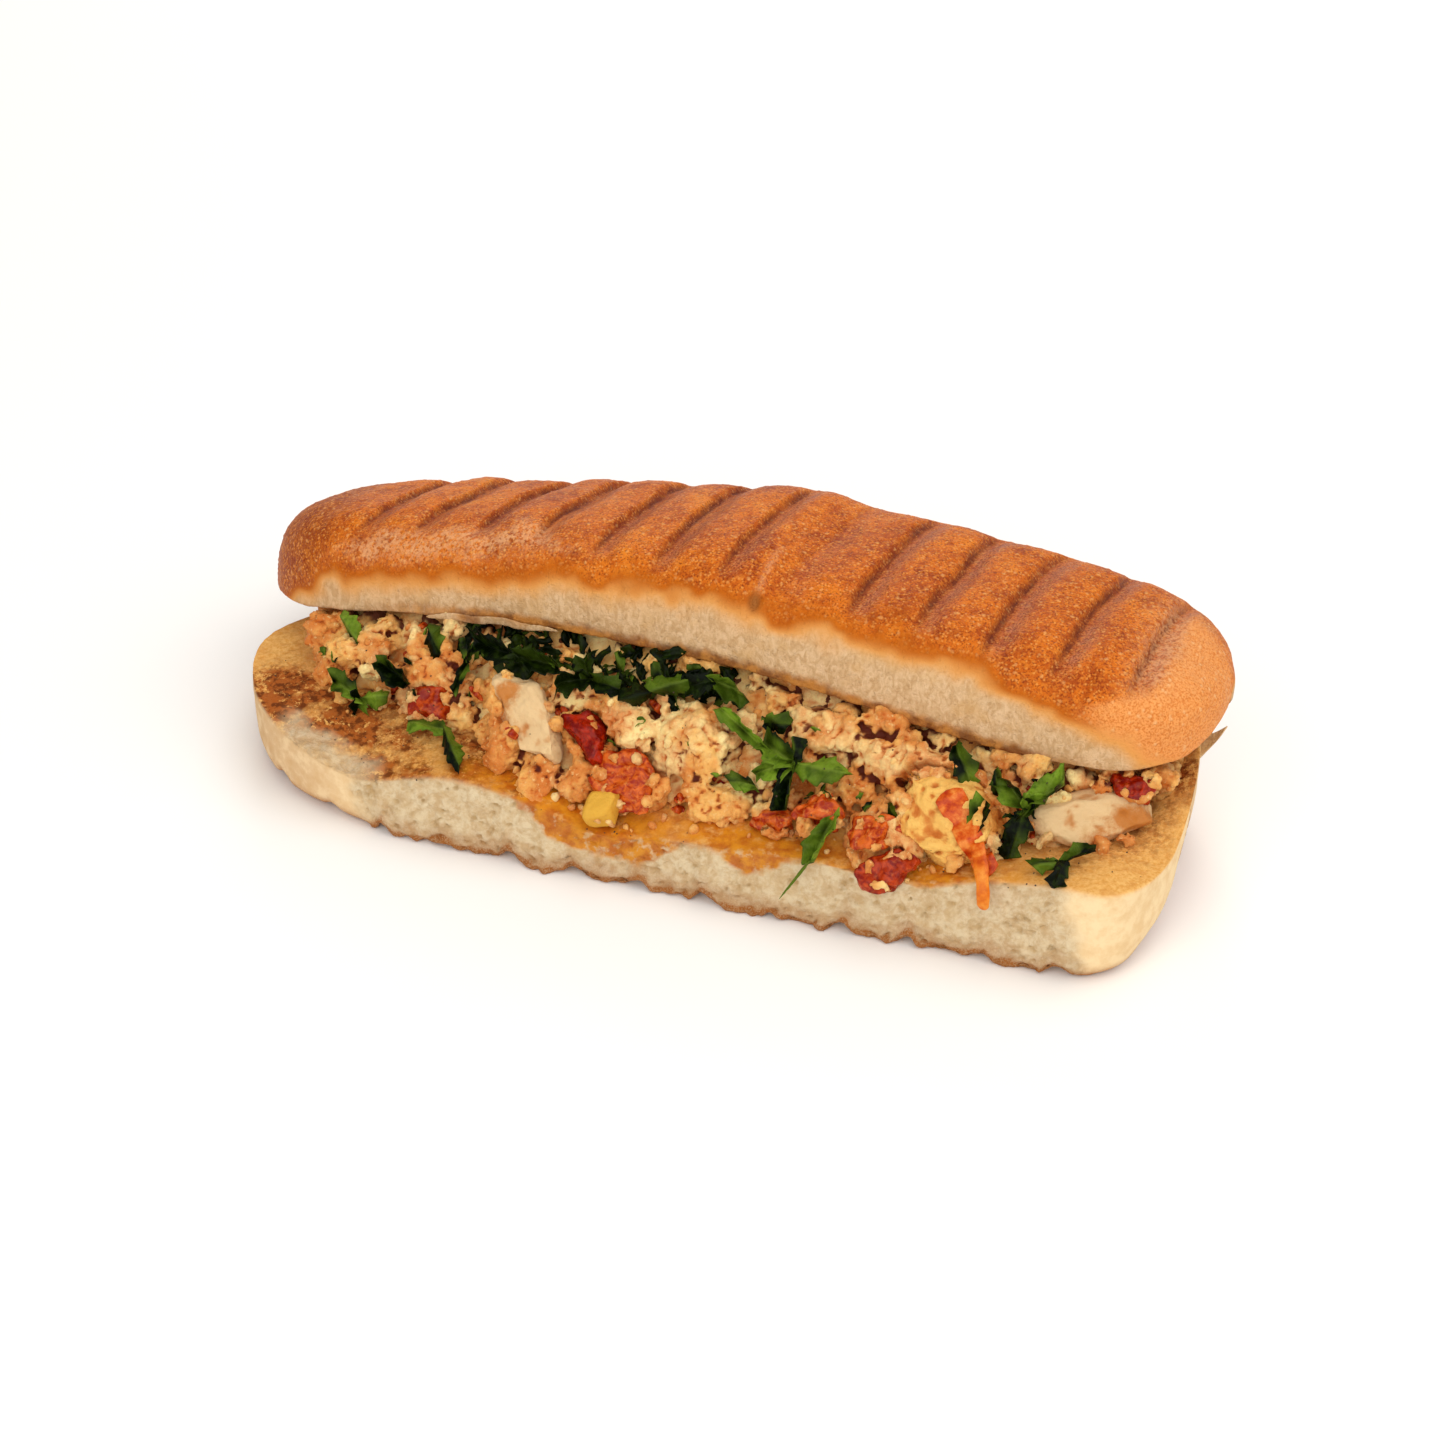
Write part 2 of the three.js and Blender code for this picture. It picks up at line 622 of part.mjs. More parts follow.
// Closed plate from two grids of points, the lower face first.
function plate(points, rows, columns) {
  const faces = [];
  const half = points.length / 2;
  const at = (i, j) => i * (columns + 1) + j;
  const quad = (a, b, c, d) => faces.push(a, b, c, a, c, d);
  for (let i = 0; i < rows; i += 1) {
    for (let j = 0; j < columns; j += 1) {
      const [a, b, c, d] = [at(i, j), at(i + 1, j), at(i + 1, j + 1), at(i, j + 1)];
      quad(a + half, b + half, c + half, d + half);
      faces.push(a, c, b, a, d, c);
    }
  }
  const rim = [];
  for (let i = 0; i < rows; i += 1) rim.push(at(i, 0));
  for (let j = 0; j < columns; j += 1) rim.push(at(rows, j));
  for (let i = rows; i > 0; i -= 1) rim.push(at(i, columns));
  for (let j = columns; j > 0; j -= 1) rim.push(at(0, j));
  rim.forEach((a, k) => {
    const b = rim[(k + 1) % rim.length];
    quad(a, b, b + half, a + half);
  });
  return new THREE.BufferGeometry().setFromPoints(points).setIndex(faces);
}

// Leaflets that share one knot, and the stalk that leaves the first of them.
function parsley({ knot, tips, width = LEAF.width, stalk }, seed) {
  const leaflets = tips.map((to, i) =>
    blade({ from: knot, to, width: width * (1 - 0.08 * i), thickness: LEAF.thickness, seed: seed + i }),
  );
  if (stalk) {
    const thin = { width: LEAF.stalkWidth, thickness: LEAF.stalkWidth, even: true };
    leaflets.push(blade({ from: tips[0], to: stalk, ...thin }));
  }
  return leaflets;
}

function strip({ from, by, to, width }) {
  return [blade({ from, by, to, width, thickness: STRIP.thickness, even: true })];
}

function mesh(name, geometry, colour, roughness) {
  const material = new THREE.MeshStandardMaterial({ color: colour, roughness, metalness: 0 });
  const made = new THREE.Mesh(geometry, material);
  made.name = name;
  return made;
}

const sandwich = new THREE.Group();
sandwich.add(mesh("bread_bottom", bottomHalf(), CRUMB, 0.9));
sandwich.add(mesh("bread_top", topHalf(), CRUST, 0.5));

const bread = sandwich.children.map((half) => solidOf(grown(half.geometry, GAP)));

// Adds a piece, cut back from the bread and from the pieces added before it.
const rooms = [...bread];
function place(name, shapes, colour, roughness) {
  let piece = shapes.map(solidOf).reduce((a, b) => a.add(b));
  rooms.forEach((room) => {
    piece = piece.subtract(room);
  });
  sandwich.add(mesh(name, geometryOf(largest(piece)), colour, roughness));
  shapes.forEach((shape) => rooms.push(solidOf(grown(shape, GAP))));
}

PARSLEY.forEach((leaf, i) => place(`parsley_${leaf.name}`, parsley(leaf, i), LEAF_GREEN, 0.5));
PEPPER_STRIPS.forEach((one) => place(one.name, strip(one), PEPPER, 0.4));
TOMATO_PIECES.forEach((one, i) => {
  place(one.name, [lump({ ...one, seed: 60 + i, small: true })], TOMATO, 0.35);
});
EGG_PIECES.forEach((one, i) => {
  place(one.name, [lump({ ...one, seed: 80 + i })], one.name.includes("yolk") ? YOLK : EGG_WHITE, 0.5);
});
const taken = [
  ...[...CURDS, ...EGG_PIECES, ...TOMATO_PIECES].map((one) => [one.at, one.size[0] / 2]),
  ...PARSLEY.flatMap((one) => [one.knot, ...one.tips].map((place) => [place, LEAF_ROOM])),
];
const curds = CURDS.map((curd, i) => lump({ ...curd, seed: i }));
place("egg_filling", [fillingCore(), ...curds, ...crumbles(taken)], EGG, 0.7);

// The whole stands on its lowest ribs, centred over the origin.
const box = new THREE.Box3().setFromObject(sandwich);
const middle = box.getCenter(new THREE.Vector3());
sandwich.position.set(-middle.x, -middle.y, -box.min.z);

export default sandwich;
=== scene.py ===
import itertools
import math

import bmesh
import bpy
import numpy as np
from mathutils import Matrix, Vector
from mathutils.bvhtree import BVHTree


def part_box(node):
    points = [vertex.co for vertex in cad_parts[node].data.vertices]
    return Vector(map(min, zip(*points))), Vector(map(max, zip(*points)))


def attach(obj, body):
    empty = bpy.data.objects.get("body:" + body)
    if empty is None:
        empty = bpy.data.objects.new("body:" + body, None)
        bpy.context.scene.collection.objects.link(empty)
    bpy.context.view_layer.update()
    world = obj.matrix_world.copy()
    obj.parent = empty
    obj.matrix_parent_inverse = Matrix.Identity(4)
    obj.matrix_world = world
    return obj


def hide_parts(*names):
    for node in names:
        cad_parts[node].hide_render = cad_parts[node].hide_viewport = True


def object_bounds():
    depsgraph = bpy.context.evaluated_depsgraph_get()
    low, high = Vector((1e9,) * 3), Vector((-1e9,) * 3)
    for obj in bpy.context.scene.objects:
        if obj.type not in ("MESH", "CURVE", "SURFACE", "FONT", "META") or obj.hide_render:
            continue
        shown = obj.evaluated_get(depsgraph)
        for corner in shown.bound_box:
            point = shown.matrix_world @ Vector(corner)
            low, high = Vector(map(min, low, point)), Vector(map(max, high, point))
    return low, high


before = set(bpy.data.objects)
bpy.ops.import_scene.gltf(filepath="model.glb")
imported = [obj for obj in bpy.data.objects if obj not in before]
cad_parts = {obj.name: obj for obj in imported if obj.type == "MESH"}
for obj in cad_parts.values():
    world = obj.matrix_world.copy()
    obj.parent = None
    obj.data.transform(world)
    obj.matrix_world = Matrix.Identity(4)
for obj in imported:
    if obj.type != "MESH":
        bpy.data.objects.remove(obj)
cad_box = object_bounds()

# The shapes below are in millimetres, +X along the roll, with the open front towards -Y, in the axes that
# the solids had before the whole was centred. Adding SHIFT takes a point from there into the frame.
MM = 0.001
BOTTOM_CORNER = (-111.6, -38.508)  # lowest x and y of the bottom half in those axes
SHIFT = np.array([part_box("bread_bottom")[0][i] / MM - BOTTOM_CORNER[i] for i in (0, 1)] + [0.0])
ROOM = [np.array(corner) / MM - SHIFT for corner in cad_box]  # box that the visual model stays in
ROOM_MARGIN = 0.02

# Driving dimensions of the two halves of the roll.
RIB_PITCH = 15.5
RIB_LEAN = 0.06
VALLEY_REACH = 0.22
BOTTOM = dict(left=-112, right=112.5, half_width=39, axis_y=2, axis_turn=-0.03, torn_front=-36.6,
              torn_turn=-0.02, torn_lean=2.2, thickness=18.5, right_lift=2.2, edge_radius=6,
              torn_radius=1, rib_depth=2.8, rib_start=-30.9)
INNER_SAG = [(-112, 0), (-90, 2), (-69, 6), (-49, 0.5), (-30, 2), (-12, 7), (11, 4), (34, 2.5), (56, 3),
             (78, -0.5), (98, -3), (112.5, -2)]
CURL = dict(height=9, start=98, front=-25, full=18, rear=36)
TOP = dict(half_length=118, half_width=31, place=(-0.8, 25, 42.4), turn=-0.1, crown_power=3.3,
           right_undercut=0.38, rib_start=8.5)
TOP_THICKNESS = [(-118, 20.5), (-95, 23.6), (-60, 22.4), (-20, 22), (12, 24), (24, 21.5), (42, 22.5),
                 (85, 23.2), (118, 22)]
TOP_DROOP = [(-118, 19), (-100, 14.6), (-85, 10.9), (-68, 6.5), (-42, 2), (0, 0), (33, 0.6), (72, 4.2),
             (100, 6.4), (118, 8)]
TOP_LEAN = [(-118, 0.24), (-60, 0.22), (-20, 0.135), (12, 0.075), (45, 0.05), (118, 0.05)]
KINK = dict(at=23, width=9)

# The pale band on the front of the top half: its height above the lower edge, as (x, height).
PALE_BAND = [(-112, -5), (-104, 0.4), (-100, 2.6), (-92, 7), (-52, 9.3), (-17, 11.3), (17, 13.4), (45, 15.6),
             (83, 11.3), (94, 8), (105, 1.2), (112, -4)]
# Toasted patches of the inner face of the bottom half, as (x, y, radius, strength).
TOASTED = [(-103, -9, 7, 0.75), (-93, -13, 8, 1.9), (-84, -20, 8, 1.5), (-101, 12, 9, 0.1),
           (-95, -18, 6, 0.9), (-56, -34.5, 4.5, 1.3), (-43, -29, 7, 1.2), (-34, -30, 7, 1.2),
           (-66, -27, 10, 1.0), (-74, -14, 9, 1.0), (97, -17, 9, 0.4), (104, -9, 7, 0.4),
           (91, -29, 6, 0.3), (109, 6, 7, 0.8)]
# Strength of the orange oil along the front edge of the inner face, as (x, strength).
OILED = [(-70, 0), (-52, 0.25), (-36, 0.7), (-20, 0.9), (-6, 0.75), (6, 0.6), (23, 1.15), (40, 0.75),
         (56, 0.7), (64, 0.95), (76, 0.6), (88, 0.2), (100, 0)]
# Where the oil has run down the torn face, as (x, width, strength).
SPILLED = [(-22, 8, 0.8), (-12, 9, 1.2), (-2, 7, 1.0), (24, 7, 1.1), (63, 5, 0.4)]

# Filling.
FILLING = dict(left=-97, right=103, brow_setback=2, heel_setback=6, thinnest=1.2, margin=0.9)
FILLING_TOE = [(-97, 2), (-85, -10), (-67, -12), (-45, -19), (-27, -27), (-8, -30), (11, -26), (33, -25),
               (50, -29), (62, -29), (76, -26), (88, -14), (97, -6), (104, 4)]
HEAP_VOXEL = 0.46
CORE_VOXEL = 1.1
SLOPE = 0.8
OUTWARD = np.array([-0.05, -math.sin(SLOPE), math.cos(SLOPE)])
OUTWARD /= np.linalg.norm(OUTWARD)
CURDS = [
    dict(at=(-93, 3, 26), size=(11, 9, 8), tone=0.7),
    dict(at=(-81, -4, 27), size=(19, 10, 10), turn=0.15, tone=0.55),
    dict(at=(-62, -7, 28), size=(14, 15, 12), turn=0.5, tone=0.75),
    dict(at=(-53, -14, 22), size=(9, 9, 8), tone=0.6),
    dict(at=(-38, -20, 21), size=(13, 14, 11), turn=0.4, tone=0.85),
    dict(at=(-29, -26, 18), size=(10, 12, 9), tone=0.9),
    dict(at=(-25, -12, 33), size=(13, 9, 8), tone=0.2),
    dict(at=(-11, -16, 31), size=(16, 13, 12), turn=-0.2, tone=0.3),
    dict(at=(5, -17, 29.5), size=(19, 19, 13), turn=0.3, tone=0.4),
    dict(at=(-18, -26, 19), size=(11, 9, 8), turn=0.4, tone=0.85),
    dict(at=(15, -25, 19), size=(14, 10, 9), turn=0.3, tone=0.75),
    dict(at=(34, -13, 34), size=(20, 12, 10), turn=-0.1, tone=0.4),
    dict(at=(47, -10, 38), size=(10, 7, 7), tone=0.6),
    dict(at=(51, -16, 32.5), size=(27, 13, 11), turn=-0.05, tone=0.3),
    dict(at=(49, -27, 20.5), size=(12, 14, 11), turn=0.5, tone=0.6),
    dict(at=(105, 8, 25), size=(9, 9, 9), turn=0.3, tone=0.6),
]
# Larger pieces of egg. Their cuts are flat faces, as (direction, reach in half sizes).
EGG_PIECES = {
    "egg_white_wedge": dict(
        at=(-34, -19.5, 29), size=(25, 12, 9), turn=-0.75, square=0.8,
        cuts=[((0.1, -0.15, 1), 0.6), ((1, 0.9, 0.2), 0.74), ((1, -0.6, 0.3), 0.9), ((-0.4, -1, 0.4), 0.74),
              ((-1, 0.5, 0.3), 0.84)],
    ),
    "egg_white_slab": dict(
        at=(93.5, -14.5, 26.5), size=(28, 13, 8), heading=0.5, square=0.85,
        cuts=[((0.05, -0.25, 1), 0.66), ((0.6, -1, 0.2), 0.78), ((-1, -0.5, 0.3), 0.88),
              ((-0.3, 1, 0.5), 0.78)],
    ),
    "egg_yolk_piece": dict(at=(-12, -31, 16.8), size=(8, 8, 7.5), square=0.55, lean=0.5),
    "egg_smooth_piece": dict(
        at=(64, -24.5, 26.5), size=(24, 19, 11), rough=0.16, square=0.7,
        cuts=[((0.05, 0.1, 1), 0.72), ((-1, 0.1, 0.3), 0.84), ((-0.75, -1, 0.1), 0.86),
              ((0.8, -1, 0.2), 0.96), ((1, 0.4, 0.3), 0.9), ((-0.1, 1, 0.5), 0.82)],
    ),
}
# Their materials, the level of detail of their meshes and the strength of their relief.
EGG_LOOKS = {
    "egg_white_wedge": ("egg_white", 6, 1.0),
    "egg_white_slab": ("egg_white", 5, 1.0),
    "egg_yolk_piece": ("yolk", 5, 0.6),
    "egg_smooth_piece": ("egg_smooth", 6, 1.6),
}
# Their stains, as (offset from the middle, radius, strength).
EGG_STAINS = {
    "egg_white_wedge": [((-5, 0, 6), 3.4, 1.1), ((-8, -1, 2), 3.5, 0.7), ((-3, -3, -3), 4.5, 0.7),
                        ((7, 0, -8), 3.5, 0.4)],
    "egg_white_slab": [((-8, -5, -5), 4.2, 1.0), ((1, -4, -5), 4.4, 0.9), ((10, 3, -1), 5, 1.0),
                       ((6, 0, 1), 3.2, 0.6), ((-10, 2, 0), 3.5, 0.5)],
    "egg_yolk_piece": [],
    "egg_smooth_piece": [((9, 3, 5), 5, 0.9), ((10, -2, 0), 4.5, 0.8), ((4, -5, -5), 4, 0.6),
                         ((-9, 0, -2), 4, 0.4)],
}
# Crumbles of scrambled egg along their edges, as (count, least and greatest size).
EGG_CRUMBLES = {
    "egg_white_wedge": (13, (2, 4.5)),
    "egg_smooth_piece": (22, (2.5, 6)),
    "egg_white_slab": (11, (1.8, 4.2)),
    "egg_yolk_piece": (5, (1.2, 2.6)),
}
TOMATO_CRUMBLES = (11, (1.6, 3.8))
TOMATO_PIECES = {
    "tomato_left": dict(at=(-60, -13.5, 23), size=(9, 9, 6)),
    "tomato_red": dict(at=(-20, -20, 26.5), size=(13, 7, 6), turn=-0.8),
    "tomato_pulp": dict(at=(-7.5, -26.5, 21.5), size=(14, 11, 7), turn=-0.3),
    "tomato_low": dict(at=(27, -27, 19.5), size=(9, 7, 6)),
    "tomato_middle": dict(at=(37, -27.5, 23.5), size=(9, 8, 6)),
    "tomato_clump": dict(at=(50, -31.5, 24), size=(10, 6, 5), turn=0.2),
    "tomato_front": dict(at=(55, -36.5, 18.5), size=(12, 7, 5), turn=0.4),
    "tomato_right": dict(at=(101.5, -8.5, 32.5), size=(8, 6, 6)),
}
# Tones of the pieces with red skin. The others are orange pulp.
TOMATO_TONES = dict(tomato_red=0.0, tomato_left=0.35, tomato_front=0.2, tomato_right=0.05)
PULP_TONE = 0.85
PEPPER_STRIPS = {
    "pepper_strip": dict(start=(63.5, -24.5, 33.5), by=None, end=(76, -34, 20.5), width=6.4, thickness=0.5,
                         taper=0.1),
    "pepper_tail": dict(start=(70.5, -27.5, 27), by=(76.5, -41.5, 25), end=(76, -40, 15.8), width=3.3,
                        thickness=1.0, taper=0.05),
}
# Chopped parsley: the knot, the tips that its leaflets run to, and their width.
PARSLEY = {
    "left": ((-78, -13, 21), [(-86, -11, 23.5), (-77.5, -15, 17.5), (-71, -13, 22.5)], 5.5),
    "folded": ((-74, -10, 29.5), [(-65, -14.5, 28.5)], 5.5),
    "top_left": ((-89, 2.5, 32), [(-81.5, -3.5, 30.5)], 6),
    "back_left": ((-63.5, -4.5, 37.5), [(-59.8, -7, 33)], 5),
    "sprig": ((-52.5, -8.5, 33), [(-54, -5.5, 37.5), (-53.5, -15, 28.5)], 3.2),
    "fork": ((-54.3, -19.5, 21.5), [(-64, -17.5, 19.5), (-46.5, -30, 20)], 5),
    "band_one": (
        (-40, -10, 38),
        [(-51.5, -6.5, 37.5), (-29.5, -12, 39), (-36, -13, 34.5), (-45, -11, 34.5)],
        6,
    ),
    "band_two": ((-21, -13.5, 38), [(-28.5, -15, 36), (-13.5, -15, 37.5), (-24, -9.5, 40)], 6),
    "band_three": ((-6, -15, 38.5), [(-12.5, -17.5, 36.5), (1.5, -10.5, 40.5)], 6.5),
    "band_four": ((7, -10.5, 41), [(0.5, -12, 39), (14, -11, 39)], 5.5),
    "long": ((10.3, -16.5, 38.5), [(23.5, -19.5, 30)], 3.8),
    "upper": ((20, -16, 36), [(26.5, -16.5, 37.5)], 5),
    "centre": (
        (29, -22, 31.5),
        [(21, -18.5, 33.5), (41, -24, 32.5), (21, -24, 28.5), (28.5, -29.5, 24), (28.5, -19, 36)],
        6.5,
    ),
    "low_left": ((21, -24.5, 25.5), [(15.5, -25.5, 26)], 5),
    "small": ((62.8, -14.5, 38.5), [(68, -19, 32)], 5.5),
    "slim": ((72.5, -19.5, 36.5), [(74.5, -21, 32.5)], 3.6),
    "on_egg": ((70.5, -29.5, 26), [(71.8, -24.5, 33)], 4.8),
    "right": ((80, -23, 31), [(75.5, -20.5, 36), (87, -18, 37), (78.5, -28, 21.5), (84, -22, 33)], 6.5),
    "stalk": ((40, -29, 24.5), [(37.5, -38, 18.5)], 4.6),
    "crumb": ((51, -25.5, 27.5), [(53.5, -25.5, 24)], 3.4),
    "front_right": ((90.5, -30, 24.5), [(84.5, -32, 23.5), (90.5, -37.5, 23.3), (94.5, -22.5, 24.5)], 5),
}
STALK_END = (31.5, -40.5, 8.5)
# The leaflets of the band and the flecks under the brow keep only a share of their tone, as painted shadow
# under the top half.
BAND_SHADOW_TONES = (0.05, 0.5, 0.12, 0.35)  # share of the leaves' tone kept by the leaflets of the band, in turn
BROW_FLECK_SHADOW_TONES = (0.02, 0.1, 0.5)  # the same for the dark flecks under the brow

# Loose bits: how many, and their least and greatest size.
LOOSE = dict(
    heap_crumbs=(60, (0.8, 2.2)),
    toe_crumbs=(50, (0.6, 2.4)),
    heap_specks=(50, (0.25, 0.5)),
    face_specks=(60, (0.25, 0.5)),
)
SHRED_COUNT = 22
FLECKS = dict(count=44, reach=(0.9, 2.6), width=(0.7, 1.8))
BROW_FLECKS = dict(count=120, reach=(2.2, 5.5), width=(1.5, 3.6))
# A thin loose flake along the lower front edge of the top half, and the pointed corner of the curled rim.
FLAKE = dict(left=-66, right=-32, ahead=0.45, above=0.7, width=2.0, thickness=0.5)
RIM_FLAP = dict(path=[(105, 15.5, 24.0), (112.0, 17.5, 27.2), (115.9, 21.5, 31.2)], facing=(-0.5, -0.4, 0.8),
                width=9.0, thickness=1.6)

# Camera, as fitted to the photograph.
CAMERA = dict(azimuth=17.905, elevation=34, distance=684, target=(-5.75, 33.36, 0), focal=2834.6, frame=1440)
# Soft square lights: place in metres, size in metres, power in watts, and colour.
LIGHTS = dict(
    key=((0.6, 0.1, 1.05), 1.8, 13.4, (1.0, 0.985, 0.955)),
    fill=((-0.1, -1.1, 0.7), 1.4, 10.0, (1.0, 0.985, 0.96)),
    back=((-0.35, 1.0, 0.6), 0.5, 3.0, (1.0, 1.0, 1.0)),
)
LIGHT_TARGET = (0, 0, 0.03)
SKY_STRENGTH = 0.4
FLOOR_COLOUR = (252, 249, 245)
FLOOR_HALF_SIZE = 4.0


# Numbers.

def smoothstep(low, high, x):
    t = np.clip((x - low) / (high - low), 0, 1)
    return t * t * (3 - 2 * t)


def bell(x, middle, width):
    """Falls smoothly from 1 on both sides of the middle."""
    return np.exp(-(((x - middle) / width) ** 2))


def lerp(a, b, t):
    return a + (b - a) * t


def along(keys, x):
    """Piecewise cubic through (x, value) keys, with the slope at a key taken from its neighbours."""
    xs, vs = np.array(keys, float).T
    before = np.maximum(np.arange(len(xs)) - 1, 0)
    after = np.minimum(np.arange(len(xs)) + 1, len(xs) - 1)
    slope = (vs[after] - vs[before]) / (xs[after] - xs[before])
    x = np.clip(x, xs[0], xs[-1])
    i = np.clip(np.searchsorted(xs, x) - 1, 0, len(xs) - 2)
    span = xs[i + 1] - xs[i]
    t = (x - xs[i]) / span
    rise = vs[i + 1] - vs[i]
    m0, m1 = slope[i] * span, slope[i + 1] * span
    return vs[i] + t * (m0 + t * (3 * rise - 2 * m0 - m1 + t * (m0 + m1 - 2 * rise)))


def smooth_lattice(x, y, z, value):
    """Smooth noise from -1 to 1 from a function that gives a number for each lattice point."""
    x, y, z = np.broadcast_arrays(x, y, z)
    cell = [np.floor(c) for c in (x, y, z)]
    eased = [(c - f) ** 2 * (3 - 2 * (c - f)) for c, f in zip((x, y, z), cell)]
    total = 0
    for step in itertools.product((0, 1), repeat=3):
        share = np.prod([e if s else 1 - e for e, s in zip(eased, step)], axis=0)
        total = total + share * value(*[f + s for f, s in zip(cell, step)])
    return 2 * total - 1


def form_noise(x, y, z):
    """The noise that shapes the solids."""
    def value(i, j, k):
        h = np.sin(i * 127.1 + j * 311.7 + k * 74.7) * 43758.5453
        return h - np.floor(h)
    return smooth_lattice(x, y, z, value)


def scrambled(i, j, k, salt=0):
    """Repeatable number from 0 to 1 for a whole-numbered cell."""
    h = np.full(np.shape(i), (salt * 2654435761 + 97) & 0xFFFFFFFF, np.uint32)
    for c, factor in zip((i, j, k), (374761393, 668265263, 2246822519)):
        h = (h ^ (c.astype(np.int64).astype(np.uint32) * np.uint32(factor))) * np.uint32(3266489917)
        h ^= h >> np.uint32(15)
    h *= np.uint32(2246822519)
    h ^= h >> np.uint32(13)
    return h / 4294967295.0


def noise(p, size, salt=0):
    """Smooth noise from -1 to 1 with lumps of about the given size."""
    q = np.asarray(p) / size + 31.7
    return smooth_lattice(q[..., 0], q[..., 1], q[..., 2], lambda i, j, k: scrambled(i, j, k, salt))


def fractal(p, size, octaves, salt=0):
    sizes = [size / 2**k for k in range(octaves)]
    weights = [0.55**k for k in range(octaves)]
    return sum(w * noise(p, s, salt + k) for k, (w, s) in enumerate(zip(weights, sizes))) / sum(weights)


def drift(p, size, salt):
    """Three noises at once, which push points about along the three axes."""
    return np.stack([noise(p, size, salt + axis) for axis in range(3)], -1)


def cells(p, size, salt=0):
    """Distances to the nearest two of points scattered one to a cell, and a number drawn for the nearest."""
    q = np.asarray(p) / size + 47.3
    home = np.floor(q)
    nearest = np.full(q.shape[:-1], 9.0)
    second = nearest.copy()
    draw = np.zeros_like(nearest)
    for step in itertools.product((-1, 0, 1), repeat=3):
        at = home + step
        corner = [at[..., axis] for axis in range(3)]
        far = sum((corner[a] + scrambled(*corner, salt + 11 * a) - q[..., a]) ** 2 for a in range(3))
        closer = far < nearest
        second = np.where(closer, nearest, np.minimum(second, far))
        draw = np.where(closer, scrambled(*corner, salt + 5), draw)
        nearest = np.where(closer, far, nearest)
    return np.sqrt(nearest), np.sqrt(second), draw


def unit(v):
    return v / np.maximum(np.linalg.norm(v, axis=-1, keepdims=True), 1e-9)


# Meshes.

def normals_of(points, faces):
    faces = np.asarray(faces)
    a, b, c = (points[faces[:, i]] for i in range(3))
    flat = np.cross(b - a, c - a)
    total = np.zeros_like(points)
    for corner in range(3):
        for axis in range(3):
            total[:, axis] += np.bincount(faces[:, corner], flat[:, axis], len(points))
    return total / np.maximum(np.linalg.norm(total, axis=1, keepdims=True), 1e-12)


def facing_out(points, faces):
    """The faces, turned round if they enclose a negative volume."""
    faces = np.asarray(faces)
    a, b, c = (points[faces[:, i]] for i in range(3))
    return faces if np.einsum("ij,ij", a, np.cross(b, c)) > 0 else faces[:, ::-1]


def smoothed(values, faces, passes):
    """Values at the corners of a mesh, each averaged with its neighbours several times."""
    start = np.concatenate([faces[:, i] for i in range(3)])
    end = np.concatenate([faces[:, (i + 1) % 3] for i in range(3)])
    count = np.bincount(start, minlength=len(values)) + 1
    flat = values.reshape(len(values), -1)
    for _ in range(passes):
        sums = [np.bincount(start, column[end], len(values)) for column in flat.T]
        flat = (flat + np.stack(sums, axis=1)) / count[:, None]
    return flat.reshape(values.shape)


def tube(rings):
    """Points and triangles of a closed body from rings of equal length."""
    rows, columns = rings.shape[:2]
    r, c = np.meshgrid(np.arange(rows - 1), np.arange(columns), indexing="ij")
    a, b = r * columns + c, r * columns + (c + 1) % columns
    halves = ([a, b, b + columns], [a, b + columns, a + columns])
    faces = [np.stack(half, -1).reshape(-1, 3) for half in halves]
    points = [rings.reshape(-1, 3)]
    for row, flip in ((0, True), (rows - 1, False)):
        middle = rows * columns + (0 if flip else 1)
        a, b = row * columns + np.arange(columns), row * columns + (np.arange(columns) + 1) % columns
        fan = np.stack([np.full(columns, middle), b if flip else a, a if flip else b], -1)
        faces.append(fan)
        points.append(rings[row].mean(axis=0, keepdims=True))
    points = np.concatenate(points)
    return points, facing_out(points, np.concatenate(faces))


def joined(parts):
    """Points, triangles and masks of several bodies as one."""
    points, faces, masks, start = [], [], {}, 0
    for part in parts:
        points.append(part[0])
        faces.append(np.asarray(part[1]) + start)
        start += len(part[0])
        for key, value in (part[2] if len(part) > 2 else {}).items():
            masks.setdefault(key, []).append(np.broadcast_to(value, len(part[0])))
    return np.concatenate(points), np.concatenate(faces), {k: np.concatenate(v) for k, v in masks.items()}


def added(name, data):
    """An object in the scene."""
    made = bpy.data.objects.new(name, data)
    bpy.context.scene.collection.objects.link(made)
    return made


def ring_masks(masks, rings):
    """Masks over rings as values for the points of their tube, whose two end points get 0."""
    shape = rings.shape[:2]
    return {key: np.append(np.broadcast_to(value, shape).ravel(), [0, 0]) for key, value in masks.items()}


def piece(name, points, faces, material, nodes=(), masks=None):
    """A mesh object in the frame that rides on the one body."""
    points = np.clip(points, ROOM[0] + ROOM_MARGIN, ROOM[1] - ROOM_MARGIN)
    mesh = bpy.data.meshes.new(name)
    mesh.vertices.add(len(points))
    mesh.vertices.foreach_set("co", ((points + SHIFT) * MM).astype(np.float32).ravel())
    mesh.loops.add(3 * len(faces))
    mesh.loops.foreach_set("vertex_index", np.asarray(faces, np.int32).ravel())
    mesh.polygons.add(len(faces))
    mesh.polygons.foreach_set("loop_start", np.arange(0, 3 * len(faces), 3, dtype=np.int32))
    mesh.update(calc_edges=True)
    mesh.shade_smooth()
    for key, value in (masks or {}).items():
        layer = mesh.attributes.new(key, "FLOAT", "POINT")
        layer.data.foreach_set("value", np.broadcast_to(value, len(points)).astype(np.float32))
    mesh.materials.append(MATERIALS[material])
    made = added(name, mesh)
    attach(made, "root")
    if nodes:
        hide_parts(*nodes)
    return made


